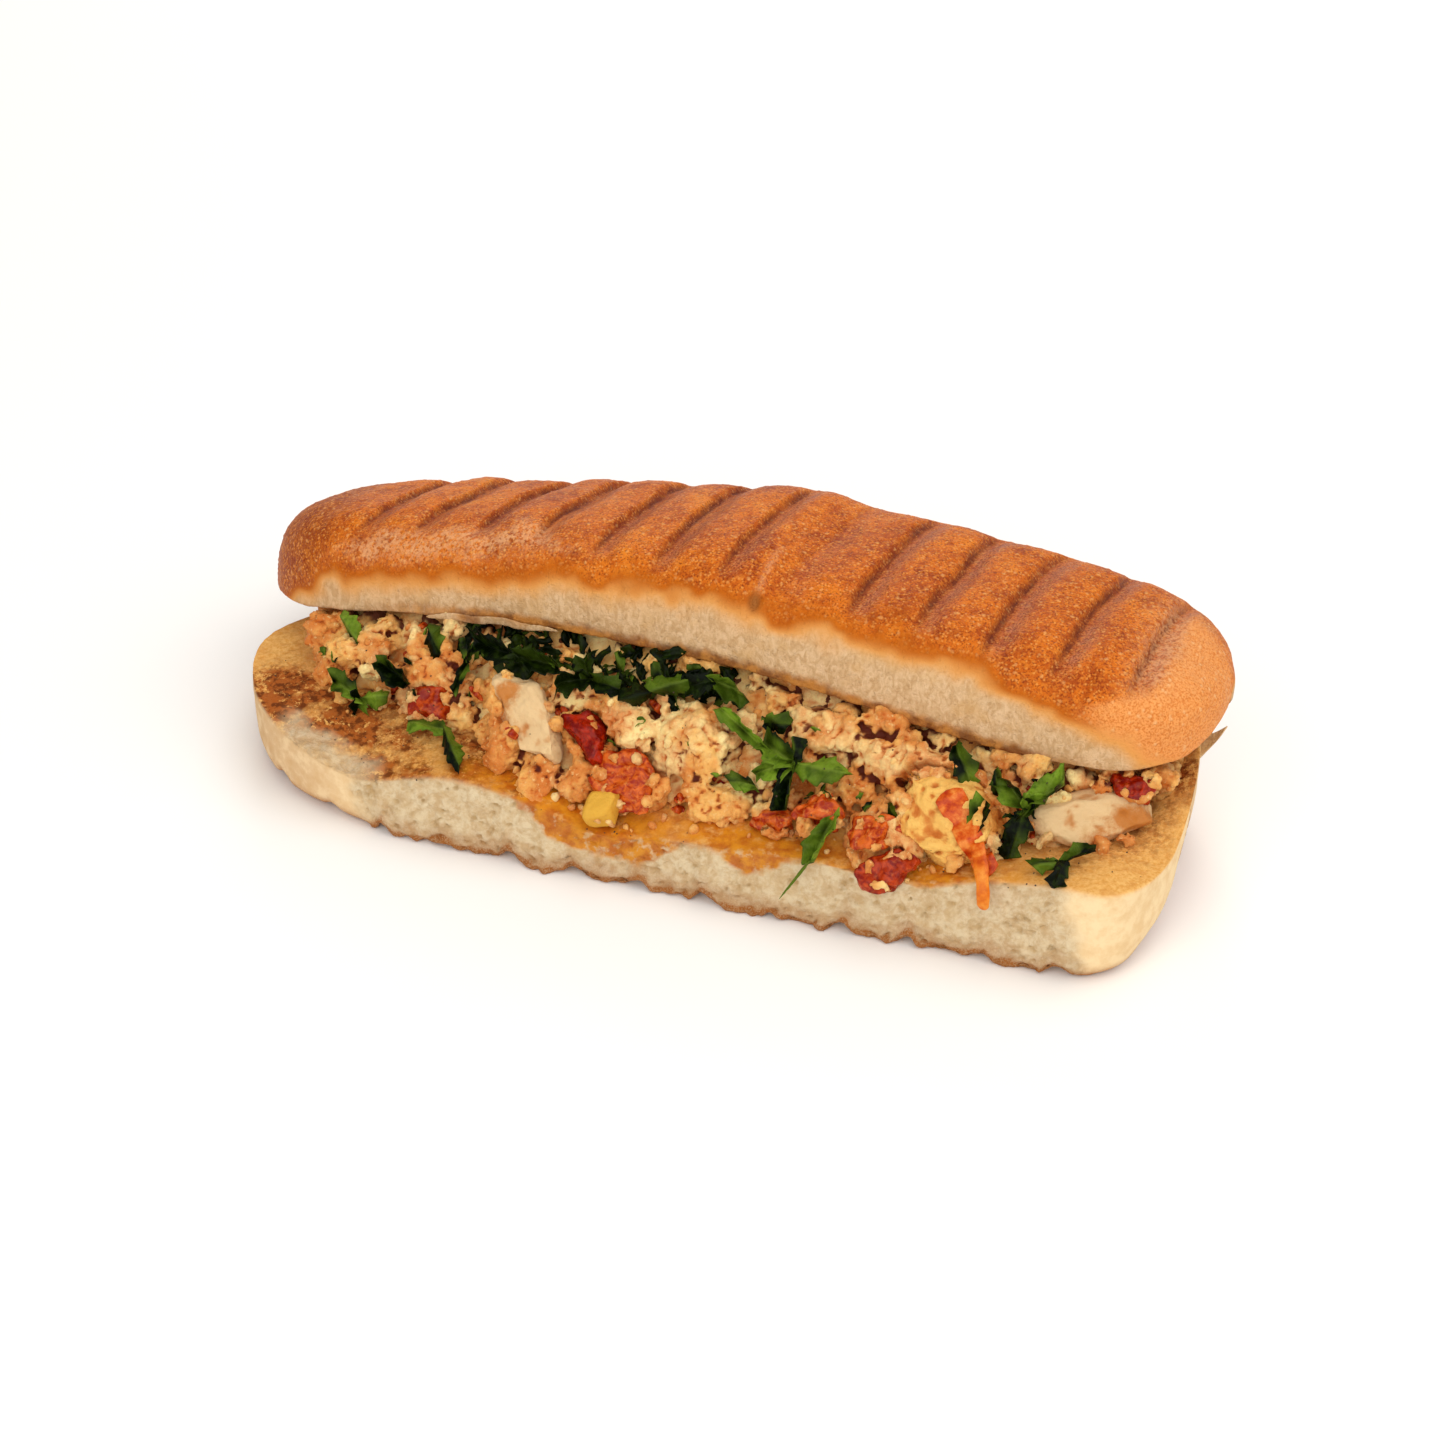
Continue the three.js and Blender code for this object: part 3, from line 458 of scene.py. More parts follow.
def ball(level):
    """Points and triangles of a round ball of radius 1."""
    shape = bmesh.new()
    bmesh.ops.create_icosphere(shape, subdivisions=level, radius=1)
    points = np.array([v.co for v in shape.verts])
    faces = np.array([[v.index for v in f.verts] for f in shape.faces])
    shape.free()
    return points, faces


BALLS = {level: ball(level) for level in (1, 2, 3, 4, 5, 6)}


def turned(points, turn, lean, heading=0):
    """Points turned about Z, then about X, then about Z again."""
    def about_z(p, a):
        return np.stack([p[:, 0] * math.cos(a) - p[:, 1] * math.sin(a),
                         p[:, 0] * math.sin(a) + p[:, 1] * math.cos(a), p[:, 2]], -1)
    p = about_z(points, turn)
    p = np.stack([p[:, 0], p[:, 1] * math.cos(lean) - p[:, 2] * math.sin(lean),
                  p[:, 1] * math.sin(lean) + p[:, 2] * math.cos(lean)], -1)
    return about_z(p, heading)


def lump(at, size, turn=0, lean=SLOPE, heading=0, seed=1, square=1, rough=0.22, level=3, cuts=()):
    """A rounded, uneven piece, with its size given along the roll, up the front slope and out of it.

    Each cut is a flat face, as its direction and its reach in half sizes.
    """
    directions, faces = BALLS[level]
    x, y, z = directions.T
    reach = 1 + rough * form_noise(x * 1.6 + seed * 7.3, y * 1.6 + seed, z * 1.6 - seed)
    points = reach[:, None] * np.sign(directions) * np.abs(directions) ** square
    for direction, limit in cuts:
        normal = unit(np.array(direction, float))
        points = points - normal * np.maximum(points @ normal - limit, 0)[:, None]
    points = points * np.array(size) / 2
    return turned(points, turn, lean, heading) + np.array(at), faces


def chunk(at, size, turn=0, lean=SLOPE, seed=1, level=4, planes=10, sharp=8):
    """A broken piece with several blunt faces, sized and turned as a lump is."""
    random = np.random.default_rng(900 + int(seed))
    directions, faces = BALLS[level]
    normals = unit(random.normal(size=(planes, 3)))
    offsets = random.uniform(0.68, 0.98, planes)
    press = np.maximum(directions @ normals.T, 0) / offsets
    reach = np.maximum((press**sharp).sum(axis=1), 1e-30) ** (-1 / sharp)
    points = directions * np.clip(reach, 0, 1.25)[:, None] * np.array(size) / 2
    return turned(points, turn, lean) + np.array(at), faces


def remeshed(points, faces, voxel):
    """The outer surface of overlapping bodies, as one even mesh."""
    raw = bpy.data.meshes.new("raw")
    raw.from_pydata(points.tolist(), [], faces.tolist())
    body = added("raw", raw)
    change = body.modifiers.new("even", "REMESH")
    change.mode = "VOXEL"
    change.voxel_size = voxel
    made = body.evaluated_get(bpy.context.evaluated_depsgraph_get()).to_mesh()
    made.calc_loop_triangles()
    new_points = np.empty(3 * len(made.vertices))
    made.vertices.foreach_get("co", new_points)
    new_faces = np.empty(3 * len(made.loop_triangles), np.int32)
    made.loop_triangles.foreach_get("vertices", new_faces)
    bpy.data.objects.remove(body)
    bpy.data.meshes.remove(raw)
    return new_points.reshape(-1, 3), new_faces.reshape(-1, 3)


# Form of the two halves, as in the solids.

def end_share(u, power, root):
    return np.maximum(0, 1 - np.abs(u) ** power) ** (1 / root)


def valley(phase):
    off = np.minimum(np.abs(phase - np.round(phase)) / VALLEY_REACH, 1)
    return (1 + np.cos(np.pi * off)) / 2


def askew(u, across):
    return RIB_LEAN * across * (1 - smoothstep(0.7, 1, np.abs(u)))


def bottom_axis(x):
    return BOTTOM["axis_y"] + BOTTOM["axis_turn"] * x


def bottom_share(x, left, right):
    u = np.where(x < 0, x / -BOTTOM["left"], x / BOTTOM["right"])
    return np.where(x < 0, end_share(u, *left), end_share(u, *right))


def bottom_half_width(x):
    return BOTTOM["half_width"] * bottom_share(x, (5.5, 1.6), (20, 2))


def torn_edge(x):
    return BOTTOM["torn_front"] + BOTTOM["torn_turn"] * x


def bottom_front(x):
    return np.maximum(bottom_axis(x) - bottom_half_width(x), torn_edge(x) + 0.5 * form_noise(x * 0.11, 3, 1))


def inner_face(x, y):
    sag = along(INNER_SAG, x) * (1 - smoothstep(torn_edge(x), torn_edge(x) + 26, y))
    lift = BOTTOM["right_lift"] * smoothstep(40, 105, x)
    curled = smoothstep(CURL["front"], CURL["full"], y) * (1 - smoothstep(CURL["full"], CURL["rear"], y))
    curl = CURL["height"] * smoothstep(CURL["start"], BOTTOM["right"], x) * curled
    return BOTTOM["thickness"] + lift + curl - sag + 0.5 * form_noise(x * 0.08, y * 0.08, 7)


def top_half_width(station):
    u = station / TOP["half_length"]
    return TOP["half_width"] * end_share(u, np.where(u < 0, 6.5, 9), 1.9)


def cut_face(x, y):
    dx, dy = x - TOP["place"][0], y - TOP["place"][1]
    turn = TOP["turn"]
    station = dx * math.cos(turn) + dy * math.sin(turn)
    across = dy * math.cos(turn) - dx * math.sin(turn)
    back = np.maximum(across + top_half_width(station), 0)
    return TOP["place"][2] - along(TOP_DROOP, station) - back * np.sin(along(TOP_LEAN, station))


def top_front(x):
    turn = TOP["turn"]
    station = (x - TOP["place"][0]) / math.cos(turn) - TOP["half_width"] * math.sin(turn)
    return TOP["place"][1] + station * math.sin(turn) - top_half_width(station) * math.cos(turn)


def roll_stations(left, right, step, end=12.0, end_steps=34):
    """Places along a half, closer together near its ends."""
    near = end * (np.arange(1, end_steps + 1) / end_steps) ** 1.7
    middle = np.linspace(left + end, right - end, int((right - left - 2 * end) / step))
    return np.concatenate([left + near, middle[1:-1], right - near[::-1]])


def grid_normals(grid):
    """Outward normals of a grid of rings."""
    round_it = np.roll(grid, -1, axis=1) - np.roll(grid, 1, axis=1)
    normal = unit(np.cross(np.gradient(grid, axis=0), round_it))
    out = grid - grid.mean(axis=1, keepdims=True)
    return normal * np.sign((normal * out).sum())


def softened(grid, columns, passes):
    """The grid with some of its columns averaged round the ring, to round off an edge."""
    for _ in range(passes):
        eased = (np.roll(grid, 1, axis=1) + 2 * grid + np.roll(grid, -1, axis=1)) / 4
        grid = np.where(columns[None, :, None], eased, grid)
    return grid


def near(kind, borders, reach):
    """Columns of a ring that lie within reach of the borders between the given kinds of column."""
    found = np.zeros(len(kind), bool)
    for before, after in borders:
        edge = np.where((kind == after) & (np.roll(kind, 1) == before))[0]
        for at in edge:
            found[(at + np.arange(-reach, reach + 1)) % len(kind)] = True
    return found


def softened_mask(columns, passes=4):
    """A mask for some columns of a ring, faded at its edges, as one row."""
    share = columns.astype(float)
    for _ in range(passes):
        share = (np.roll(share, 1) + 2 * share + np.roll(share, -1)) / 4
    return share[None, :]


# Materials.

def srgb(*levels):
    shares = [level / 255 for level in levels]
    return tuple(s / 12.92 if s <= 0.04045 else ((s + 0.055) / 1.055) ** 2.4 for s in shares) + (1.0,)


class Field:
    """A value or colour worked out by the nodes of a material."""

    def __init__(self, surface, socket):
        self.surface = surface
        self.socket = socket

    def __add__(self, other):
        return self.surface.math("ADD", self, other)

    def __mul__(self, other):
        return self.surface.math("MULTIPLY", self, other)

    def times(self, other):
        """The product, held between 0 and 1."""
        return self.surface.math("MULTIPLY", self, other, clamp=True)

    def step(self, low, high, start=0.0, end=1.0):
        """Runs smoothly from start to end while this runs from low to high."""
        inputs = {"Value": self, "From Min": low, "From Max": high, "To Min": start, "To Max": end}
        return self.surface.add("ShaderNodeMapRange", inputs, "Result", interpolation_type="SMOOTHSTEP")

    def under(self, *layers):
        """This colour below others, each given as (share, colour)."""
        colour = self
        for share, layer in layers:
            colour = self.surface.mix(share, colour, layer)
        return colour


class Surface:
    """Writes the nodes of one material. Sizes are in millimetres, and colours are levels from 0 to 255."""

    def __init__(self, name, **settings):
        self.made = bpy.data.materials.new(name)
        self.made.use_nodes = True
        self.tree = self.made.node_tree
        self.shader = self.tree.nodes["Principled BSDF"]
        for key, value in settings.items():
            self.shader.inputs[key.replace("_", " ").title().replace("Ior", "IOR")].default_value = value
        self.place = self.add("ShaderNodeTexCoord", {}, "Object")

    def node(self, kind, inputs, **settings):
        node = self.tree.nodes.new(kind)
        for key, value in settings.items():
            setattr(node, key, value)
        for key, value in inputs.items():
            self.put(node.inputs[key], value)
        return node

    def add(self, kind, inputs, output, **settings):
        return Field(self, self.node(kind, inputs, **settings).outputs[output])

    def put(self, socket, value):
        if isinstance(value, Field):
            self.tree.links.new(value.socket, socket)
        else:
            socket.default_value = value

    def masks(self, *names):
        return [self.add("ShaderNodeAttribute", {}, "Fac", attribute_name=name) for name in names]

    def math(self, operation, a, b, clamp=False):
        return self.add("ShaderNodeMath", {0: a, 1: b}, 0, operation=operation, use_clamp=clamp)

    def vector_math(self, operation, a, b):
        return self.add("ShaderNodeVectorMath", {0: a, 1: b}, 0, operation=operation)

    def noise(self, size, detail=3.0, roughness=0.55, stretch=None, distortion=0.0):
        place = self.vector_math("MULTIPLY", self.place, stretch) if stretch else self.place
        inputs = {"Vector": place, "Scale": 1 / (size * MM), "Detail": detail, "Roughness": roughness,
                  "Distortion": distortion}
        return self.add("ShaderNodeTexNoise", inputs, "Fac")

    def holes(self, size):
        inputs = {"Vector": self.place, "Scale": 1 / (size * MM)}
        return self.add("ShaderNodeTexVoronoi", inputs, "Distance")

    def dots(self, size, rarity, reach):
        """Scattered uneven dots, one in some of the cells of the given size."""
        scale = 1 / (size * MM)
        push = self.add("ShaderNodeTexNoise", {"Vector": self.place, "Scale": scale}, "Color")
        push = self.vector_math("SUBTRACT", push, (0.5, 0.5, 0.5))
        push = self.vector_math("MULTIPLY", push, 3 * (0.5 * size * MM,))
        place = self.vector_math("ADD", self.place, push)
        cell = self.node("ShaderNodeTexVoronoi", {"Vector": place, "Scale": scale})
        chosen = Field(self, cell.outputs["Color"]).step(rarity, rarity + 0.2)
        return Field(self, cell.outputs["Distance"]).step(reach, 0.3 * reach) * chosen

    def colour(self, value):
        return value if isinstance(value, Field) else srgb(*value)

    def mix(self, share, a, b):
        inputs = {0: share, 6: self.colour(a), 7: self.colour(b)}
        return self.add("ShaderNodeMix", inputs, 2, data_type="RGBA")

    def ramp(self, value, stops):
        node = self.node("ShaderNodeValToRGB", {"Fac": value})
        elements = node.color_ramp.elements
        while len(elements) < len(stops):
            elements.new(0.5)
        for element, (at, colour) in zip(elements, stops):
            element.position = at
            element.color = srgb(*colour)
        return Field(self, node.outputs["Color"])

    def bump(self, *heights):
        """Relief from (height, depth in mm) pairs."""
        shares = [height * depth for height, depth in heights]
        total = shares[0]
        for share in shares[1:]:
            total = total + share
        inputs = {"Height": total, "Strength": 1.0, "Distance": MM}
        self.put(self.shader.inputs["Normal"], self.add("ShaderNodeBump", inputs, "Normal"))

    def finish(self, colour, roughness=None):
        self.put(self.shader.inputs["Base Color"], self.colour(colour))
        if roughness is not None:
            self.put(self.shader.inputs["Roughness"], roughness)
        return self.made


def crust_material():
    s = Surface("crust", specular_ior_level=0.12)
    bake, groove, slope, sheen = s.masks("bake", "groove", "slope", "sheen")
    left, cap, cut, hole = s.masks("left_end", "cap", "cut", "hole")
    patches, grain, fine = s.noise(4.5, 4, 0.6), s.noise(0.9, 3, 0.6), s.noise(0.45, 2, 0.5)
    # The light dots are partly the crust's own blisters and partly painted glints on them.
    large_dots, small_dots = s.dots(1.5, 0.5, 0.42), s.dots(0.8, 0.36, 0.5)
    # The browned crust, with painted shade darkening the grooves, and lighter at the right end.
    browns = [(0.36, (150, 58, 2)), (0.46, (188, 86, 8)), (0.56, (210, 106, 14)), (0.68, (228, 132, 32))]
    # Painted shade: how strongly the grooves are darkened, varying along them.
    groove_shade = s.noise(7, 3).step(0.36, 0.6, 0.5, 0.9)
    # Painted sheen: a pale purple-grey on the gentle slopes beside the grooves.
    slope_sheen = s.mix(fine.step(0.36, 0.62), (118, 58, 44), (186, 116, 82))
    tan = s.mix(fine.step(0.35, 0.6), (218, 128, 56), (238, 162, 92))
    tan = tan.under((large_dots * 0.4, (250, 206, 150)))
    baked = s.ramp(s.noise(14, 3) * 0.5 + patches * 0.5, browns).under(
        (left * 0.6, (128, 50, 4)),
        (grain.step(0.46, 0.62, 0, 0.5), (222, 130, 40)),
        (s.noise(2.4, 4, 0.65).step(0.5, 0.38, 0, 0.45), (140, 48, 4)),
        (fine.step(0.5, 0.3, 0, 0.75), (118, 40, 4)),
        (small_dots * 0.6, (240, 160, 76)),
        (large_dots * 0.4, (246, 184, 112)),
        (slope * patches.step(0.36, 0.6, 0.35, 0.75), slope_sheen),
        (groove * groove_shade, s.mix(small_dots, (82, 28, 18), (150, 82, 50))),
        (sheen * s.noise(1.1, 4, 0.65).step(0.38, 0.6, 0.05, 0.7), (232, 172, 120)),
        (cap * 0.8, tan),
    )
    # The pale band, which turns golden and then brown, and the cut face with the pocket.
    fibres = s.noise(1.5, 5, 0.6, stretch=(1.0, 0.7, 0.6), distortion=1.2)
    colour = s.mix(fibres.step(0.32, 0.68), (192, 152, 106), (220, 184, 142)).under(
        (s.noise(7, 3).step(0.5, 0.72, 0, 0.45), (208, 162, 104)),
        (s.noise(0.5, 3).step(0.56, 0.7, 0, 0.2), (178, 134, 84)),
        (bake.step(0.0, 0.5, 0, 0.95), (222, 152, 76)),
        (bake.step(0.3, 0.74), s.mix(cap * 0.9, (183, 91, 0), (230, 156, 84))),
        (bake.step(0.55, 1.0), baked),
        (cut, s.mix(patches.step(0.4, 0.6), (186, 118, 44), (128, 68, 14))),
        (hole, (172, 108, 48)),
    )
    s.bump((grain, 0.22), (fine, 0.12), (small_dots, 0.1), (large_dots, 0.12))
    return s.finish(colour, bake.step(0.2, 0.9, 0.85, 0.42) + fine * 0.15)


def crumb_material():
    s = Surface("crumb", specular_ior_level=0.15)
    torn, inner, toast, oil = s.masks("torn", "inner", "toast", "oil")
    rim, pore, under = s.masks("rim", "pore", "under")
    soft, fine, tiny = s.noise(3.5, 4, 0.6), s.noise(0.9, 5, 0.7), s.noise(0.35, 3, 0.6)
    strands = s.noise(2.4, 5, 0.66, distortion=0.3)
    # The pores of the crumb are darkened with painted shade.
    white = s.mix(strands.step(0.34, 0.64), (206, 174, 130), (228, 206, 168)).under(
        (soft.step(0.48, 0.72, 0, 0.4), (208, 174, 122)),
        (s.holes(1.1).step(0.2, 0.06, 0, 0.2), (196, 158, 106)),
        (pore * 0.75, (198, 162, 108)),
    )
    # The under mask browns the skin low down and at the rear, and darkens it towards the left end with
    # painted shade.
    skin = s.mix(soft.step(0.35, 0.7), (244, 216, 169), (232, 197, 146)).under(
        (under * soft.step(0.3, 0.5, 0.6, 1), (160, 94, 40)),
    )
    # The toasted inner face, with painted shade along the toe of the filling, and the oil that soaks its
    # edge.
    clusters = (s.noise(2.2, 5, 0.8) + toast * 0.06).step(0.42, 0.58)
    mottled = (toast * s.noise(8, 3).step(0.38, 0.54, 0.4, 1.3)).times(clusters)
    darkest = mottled.times(s.noise(1.9, 4, 0.65).step(0.44, 0.6))
    face = s.mix(fine.step(0.3, 0.66), (216, 150, 68), (238, 186, 108)).under(
        (soft.step(0.46, 0.7, 0, 0.5), (208, 140, 66)),
        (mottled.times(0.9), (158, 72, 12)),
        (darkest * 0.85, (92, 40, 4)),
    )
    wet = oil.times(s.noise(3.0, 4, 0.6).step(0.3, 0.54, 0.25, 1.3))
    colour = s.mix(torn, skin, white).under(
        (inner, face),
        (wet * 0.92, s.mix(soft.step(0.34, 0.62), (186, 94, 0), (218, 138, 16))),
        (rim * tiny.step(0.3, 0.6, 0.6, 1), (160, 96, 42)),
    )
    rough_part = torn.step(0.0, 1.0, 0.35, 1.0)
    s.bump((strands * rough_part, 0.7), (fine * rough_part, 0.45), (tiny * rough_part, 0.16))
    return s.finish(colour, wet.step(0.2, 0.9, 0.86, 0.6))


def egg_material(name, light, dark, stained, crevice, stain_share, crumbly=1.0):
    s = Surface(name, specular_ior_level=0.25, subsurface_weight=0.06, subsurface_scale=0.001,
                subsurface_radius=(1.0, 0.6, 0.35))
    cavity, stain, deep, tone = s.masks("cavity", "stain", "deep", "tone")
    soft, fine, tiny = s.noise(3.6, 4, 0.6), s.noise(1.1, 5, 0.7), s.noise(0.45, 3, 0.6)
    spread = stain * 0.55 + s.noise(2.2, 5, 0.7) * 0.8 + tone * 0.12
    # The light and dark egg colours and the fine light and orange specks are partly the egg's own tints and
    # partly painted highlight and shade.
    colour = s.mix((soft * 0.8 + tone * 0.5).step(0.4, 0.8), light, dark).under(
        (spread.step(0.56, 0.92, 0, stain_share), stained),
        (fine.step(0.54, 0.68, 0, 0.6 * crumbly), light),
        (fine.step(0.46, 0.34, 0, 0.35 * crumbly), stained),
        # The hollows and deep gaps take a red-brown sauce colour and painted shade, darkest in the deep gaps.
        (cavity.step(0.1, 0.7, 0, 0.7), stained),
        (cavity.step(0.5, 1.15, 0, 0.85), s.mix(0.5, stained, crevice)),
        (deep.step(0.12, 0.54, 0, 0.96), crevice),
    )
    s.bump((soft, 0.3 * crumbly), (fine, 0.5), (tiny, 0.16))
    return s.finish(colour, fine.step(0.3, 0.7, 0.4, 0.6))


def tomato_material():
    s = Surface("tomato", specular_ior_level=0.18, coat_weight=0.06, coat_roughness=0.1,
                subsurface_weight=0.1, subsurface_scale=0.0012, subsurface_radius=(1.0, 0.3, 0.15))
    [tone] = s.masks("tone")
    streaks, fine = s.noise(2.0, 4, 0.6, distortion=0.8), s.noise(1.3, 4, 0.6)
    red = s.mix(tone, (112, 4, 0), (158, 36, 2))
    pink = s.mix(tone, (170, 36, 4), (222, 108, 30))
    colour = s.mix(streaks.step(0.36, 0.66), red, pink).under(
        (fine.step(0.56, 0.7, 0, 0.45) * tone.step(0, 1, 0.15, 1), (238, 160, 84)),
    )
    s.bump((streaks, 0.25), (fine, 0.12))
    return s.finish(colour, fine.step(0.3, 0.7, 0.18, 0.36))


def pepper_material():
    s = Surface("pepper", specular_ior_level=0.2, coat_weight=0.08, coat_roughness=0.12,
                subsurface_weight=0.1, subsurface_scale=0.0012, subsurface_radius=(1.0, 0.45, 0.2))
    [tone] = s.masks("tone")
    streaks = s.noise(2.6, 4, 0.6)
    film = s.ramp(streaks, [(0.34, (170, 42, 0)), (0.48, (206, 84, 12)), (0.64, (230, 138, 56))])
    tail = s.ramp(streaks, [(0.34, (200, 88, 4)), (0.5, (218, 114, 14)), (0.66, (228, 144, 46))])
    s.bump((streaks, 0.12))
    return s.finish(s.mix(tone, film, tail), streaks.step(0.3, 0.7, 0.3, 0.45))


def leaf_material():
    s = Surface("parsley", specular_ior_level=0.08, subsurface_weight=0.04, subsurface_scale=0.0005,
                subsurface_radius=(0.5, 1.0, 0.2))
    tone, vein = s.masks("tone", "vein")
    blotch = s.noise(1.8, 3)
    # The tone runs from a near-black green, which also serves as painted shade, to a light green that partly
    # stands in for painted gloss.
    colour = s.mix(tone, (3, 10, 0), (122, 152, 38)).under(
        (blotch.step(0.46, 0.7, 0, 0.8) * tone.step(0.0, 0.5, 0.4, 1), s.mix(tone, (52, 72, 4), (60, 88, 8))),
        (vein * 0.5 * tone, (146, 160, 66)),
    )
    s.bump((s.noise(0.6, 3), 0.2), (vein, -0.12))
    return s.finish(colour, blotch.step(0.3, 0.7, 0.28, 0.5))


def speck_material():
    s = Surface("pepper_speck", roughness=0.6)
    return s.finish(s.mix(s.noise(0.3, 2), (34, 22, 16), (84, 56, 38)))


MATERIALS = dict(
    crust=crust_material(),
    crumb=crumb_material(),
    egg=egg_material("scrambled_egg", (255, 228, 156), (246, 186, 100), (208, 102, 22), (84, 20, 0),
                     stain_share=0.8),
    egg_smooth=egg_material("smooth_egg", (244, 190, 98), (224, 150, 58), (204, 106, 24), (186, 88, 18),
                            stain_share=0.8, crumbly=0.8),
    egg_white=egg_material("egg_white", (230, 194, 142), (206, 154, 90), (196, 116, 36), (150, 78, 22),
                           stain_share=0.9, crumbly=0.0),
    yolk=egg_material("egg_yolk", (226, 170, 58), (216, 150, 42), (208, 142, 44), (176, 108, 32),
                      stain_share=0.3, crumbly=0.0),
    tomato=tomato_material(),
    pepper=pepper_material(),
    parsley=leaf_material(),
    speck=speck_material(),
)


# Bottom half.

STATION_STEP = 0.56
# Kinds of column round its rings: the inner face, the rear wall, the arc under that, the underside, and the
# low and high parts of the front.
INNER, WALL, ARC, UNDER, LOW, HIGH = range(6)


def evenly(count, bend=0.0):
    """Shares from 0 up to 1 for the columns of one kind, closer together at the start if bent."""
    t = np.arange(count) / count
    return ((1 - bend) * t + bend * t * t)[None, :]


def bottom_section(x, span, torn):
    """Shares across and up of each point of the rings, and the kind of each column."""
    rise = BOTTOM["edge_radius"] / BOTTOM["thickness"]
    front_radius = np.minimum(lerp(BOTTOM["edge_radius"], BOTTOM["torn_radius"], torn) / span, 0.45)
    rear_radius = np.minimum(BOTTOM["edge_radius"] / span, 0.45)
    lean = np.minimum(BOTTOM["torn_lean"] * torn / span, 0.1)
    quarter = np.pi / 2
    wall, arc, under, low, high = (evenly(count) for count in (14, 9, 26, 20, 34))
    one = np.ones_like(x)
    inner = lerp(lean, one, evenly(66, 0.6))
    # The low part of the front is a round edge where there is crust, and an upright face where it is torn.
    torn_low = (front_radius * (1 - np.minimum(low / 0.12, 1)), rise * low)
    round_low = (front_radius * (1 - np.sin(quarter * low)), rise * (1 - np.cos(quarter * low)))
    pulled_in = 0.6 * np.minimum(high / 0.55, 1) + 0.4 * smoothstep(0.55, 1, high)
    runs = [
        (inner, 1 - 0.03 * smoothstep(0.88, 1, inner)),
        (one * np.ones_like(wall), lerp(0.97 * one, rise, wall)),
        (1 - rear_radius * (1 - np.cos(quarter * arc)), rise * (1 - np.sin(quarter * arc)) * one),
        (lerp(1 - rear_radius, front_radius, under), 0 * one * under),
        (lerp(round_low[0], torn_low[0], torn), lerp(round_low[1], torn_low[1], torn)),
        (lean * pulled_in, lerp(rise, 1, high) * one),
    ]
    across, up = (np.concatenate([run[i] for run in runs], axis=1) for i in (0, 1))
    return across, up, np.concatenate([np.full(run[0].shape[1], i) for i, run in enumerate(runs)])


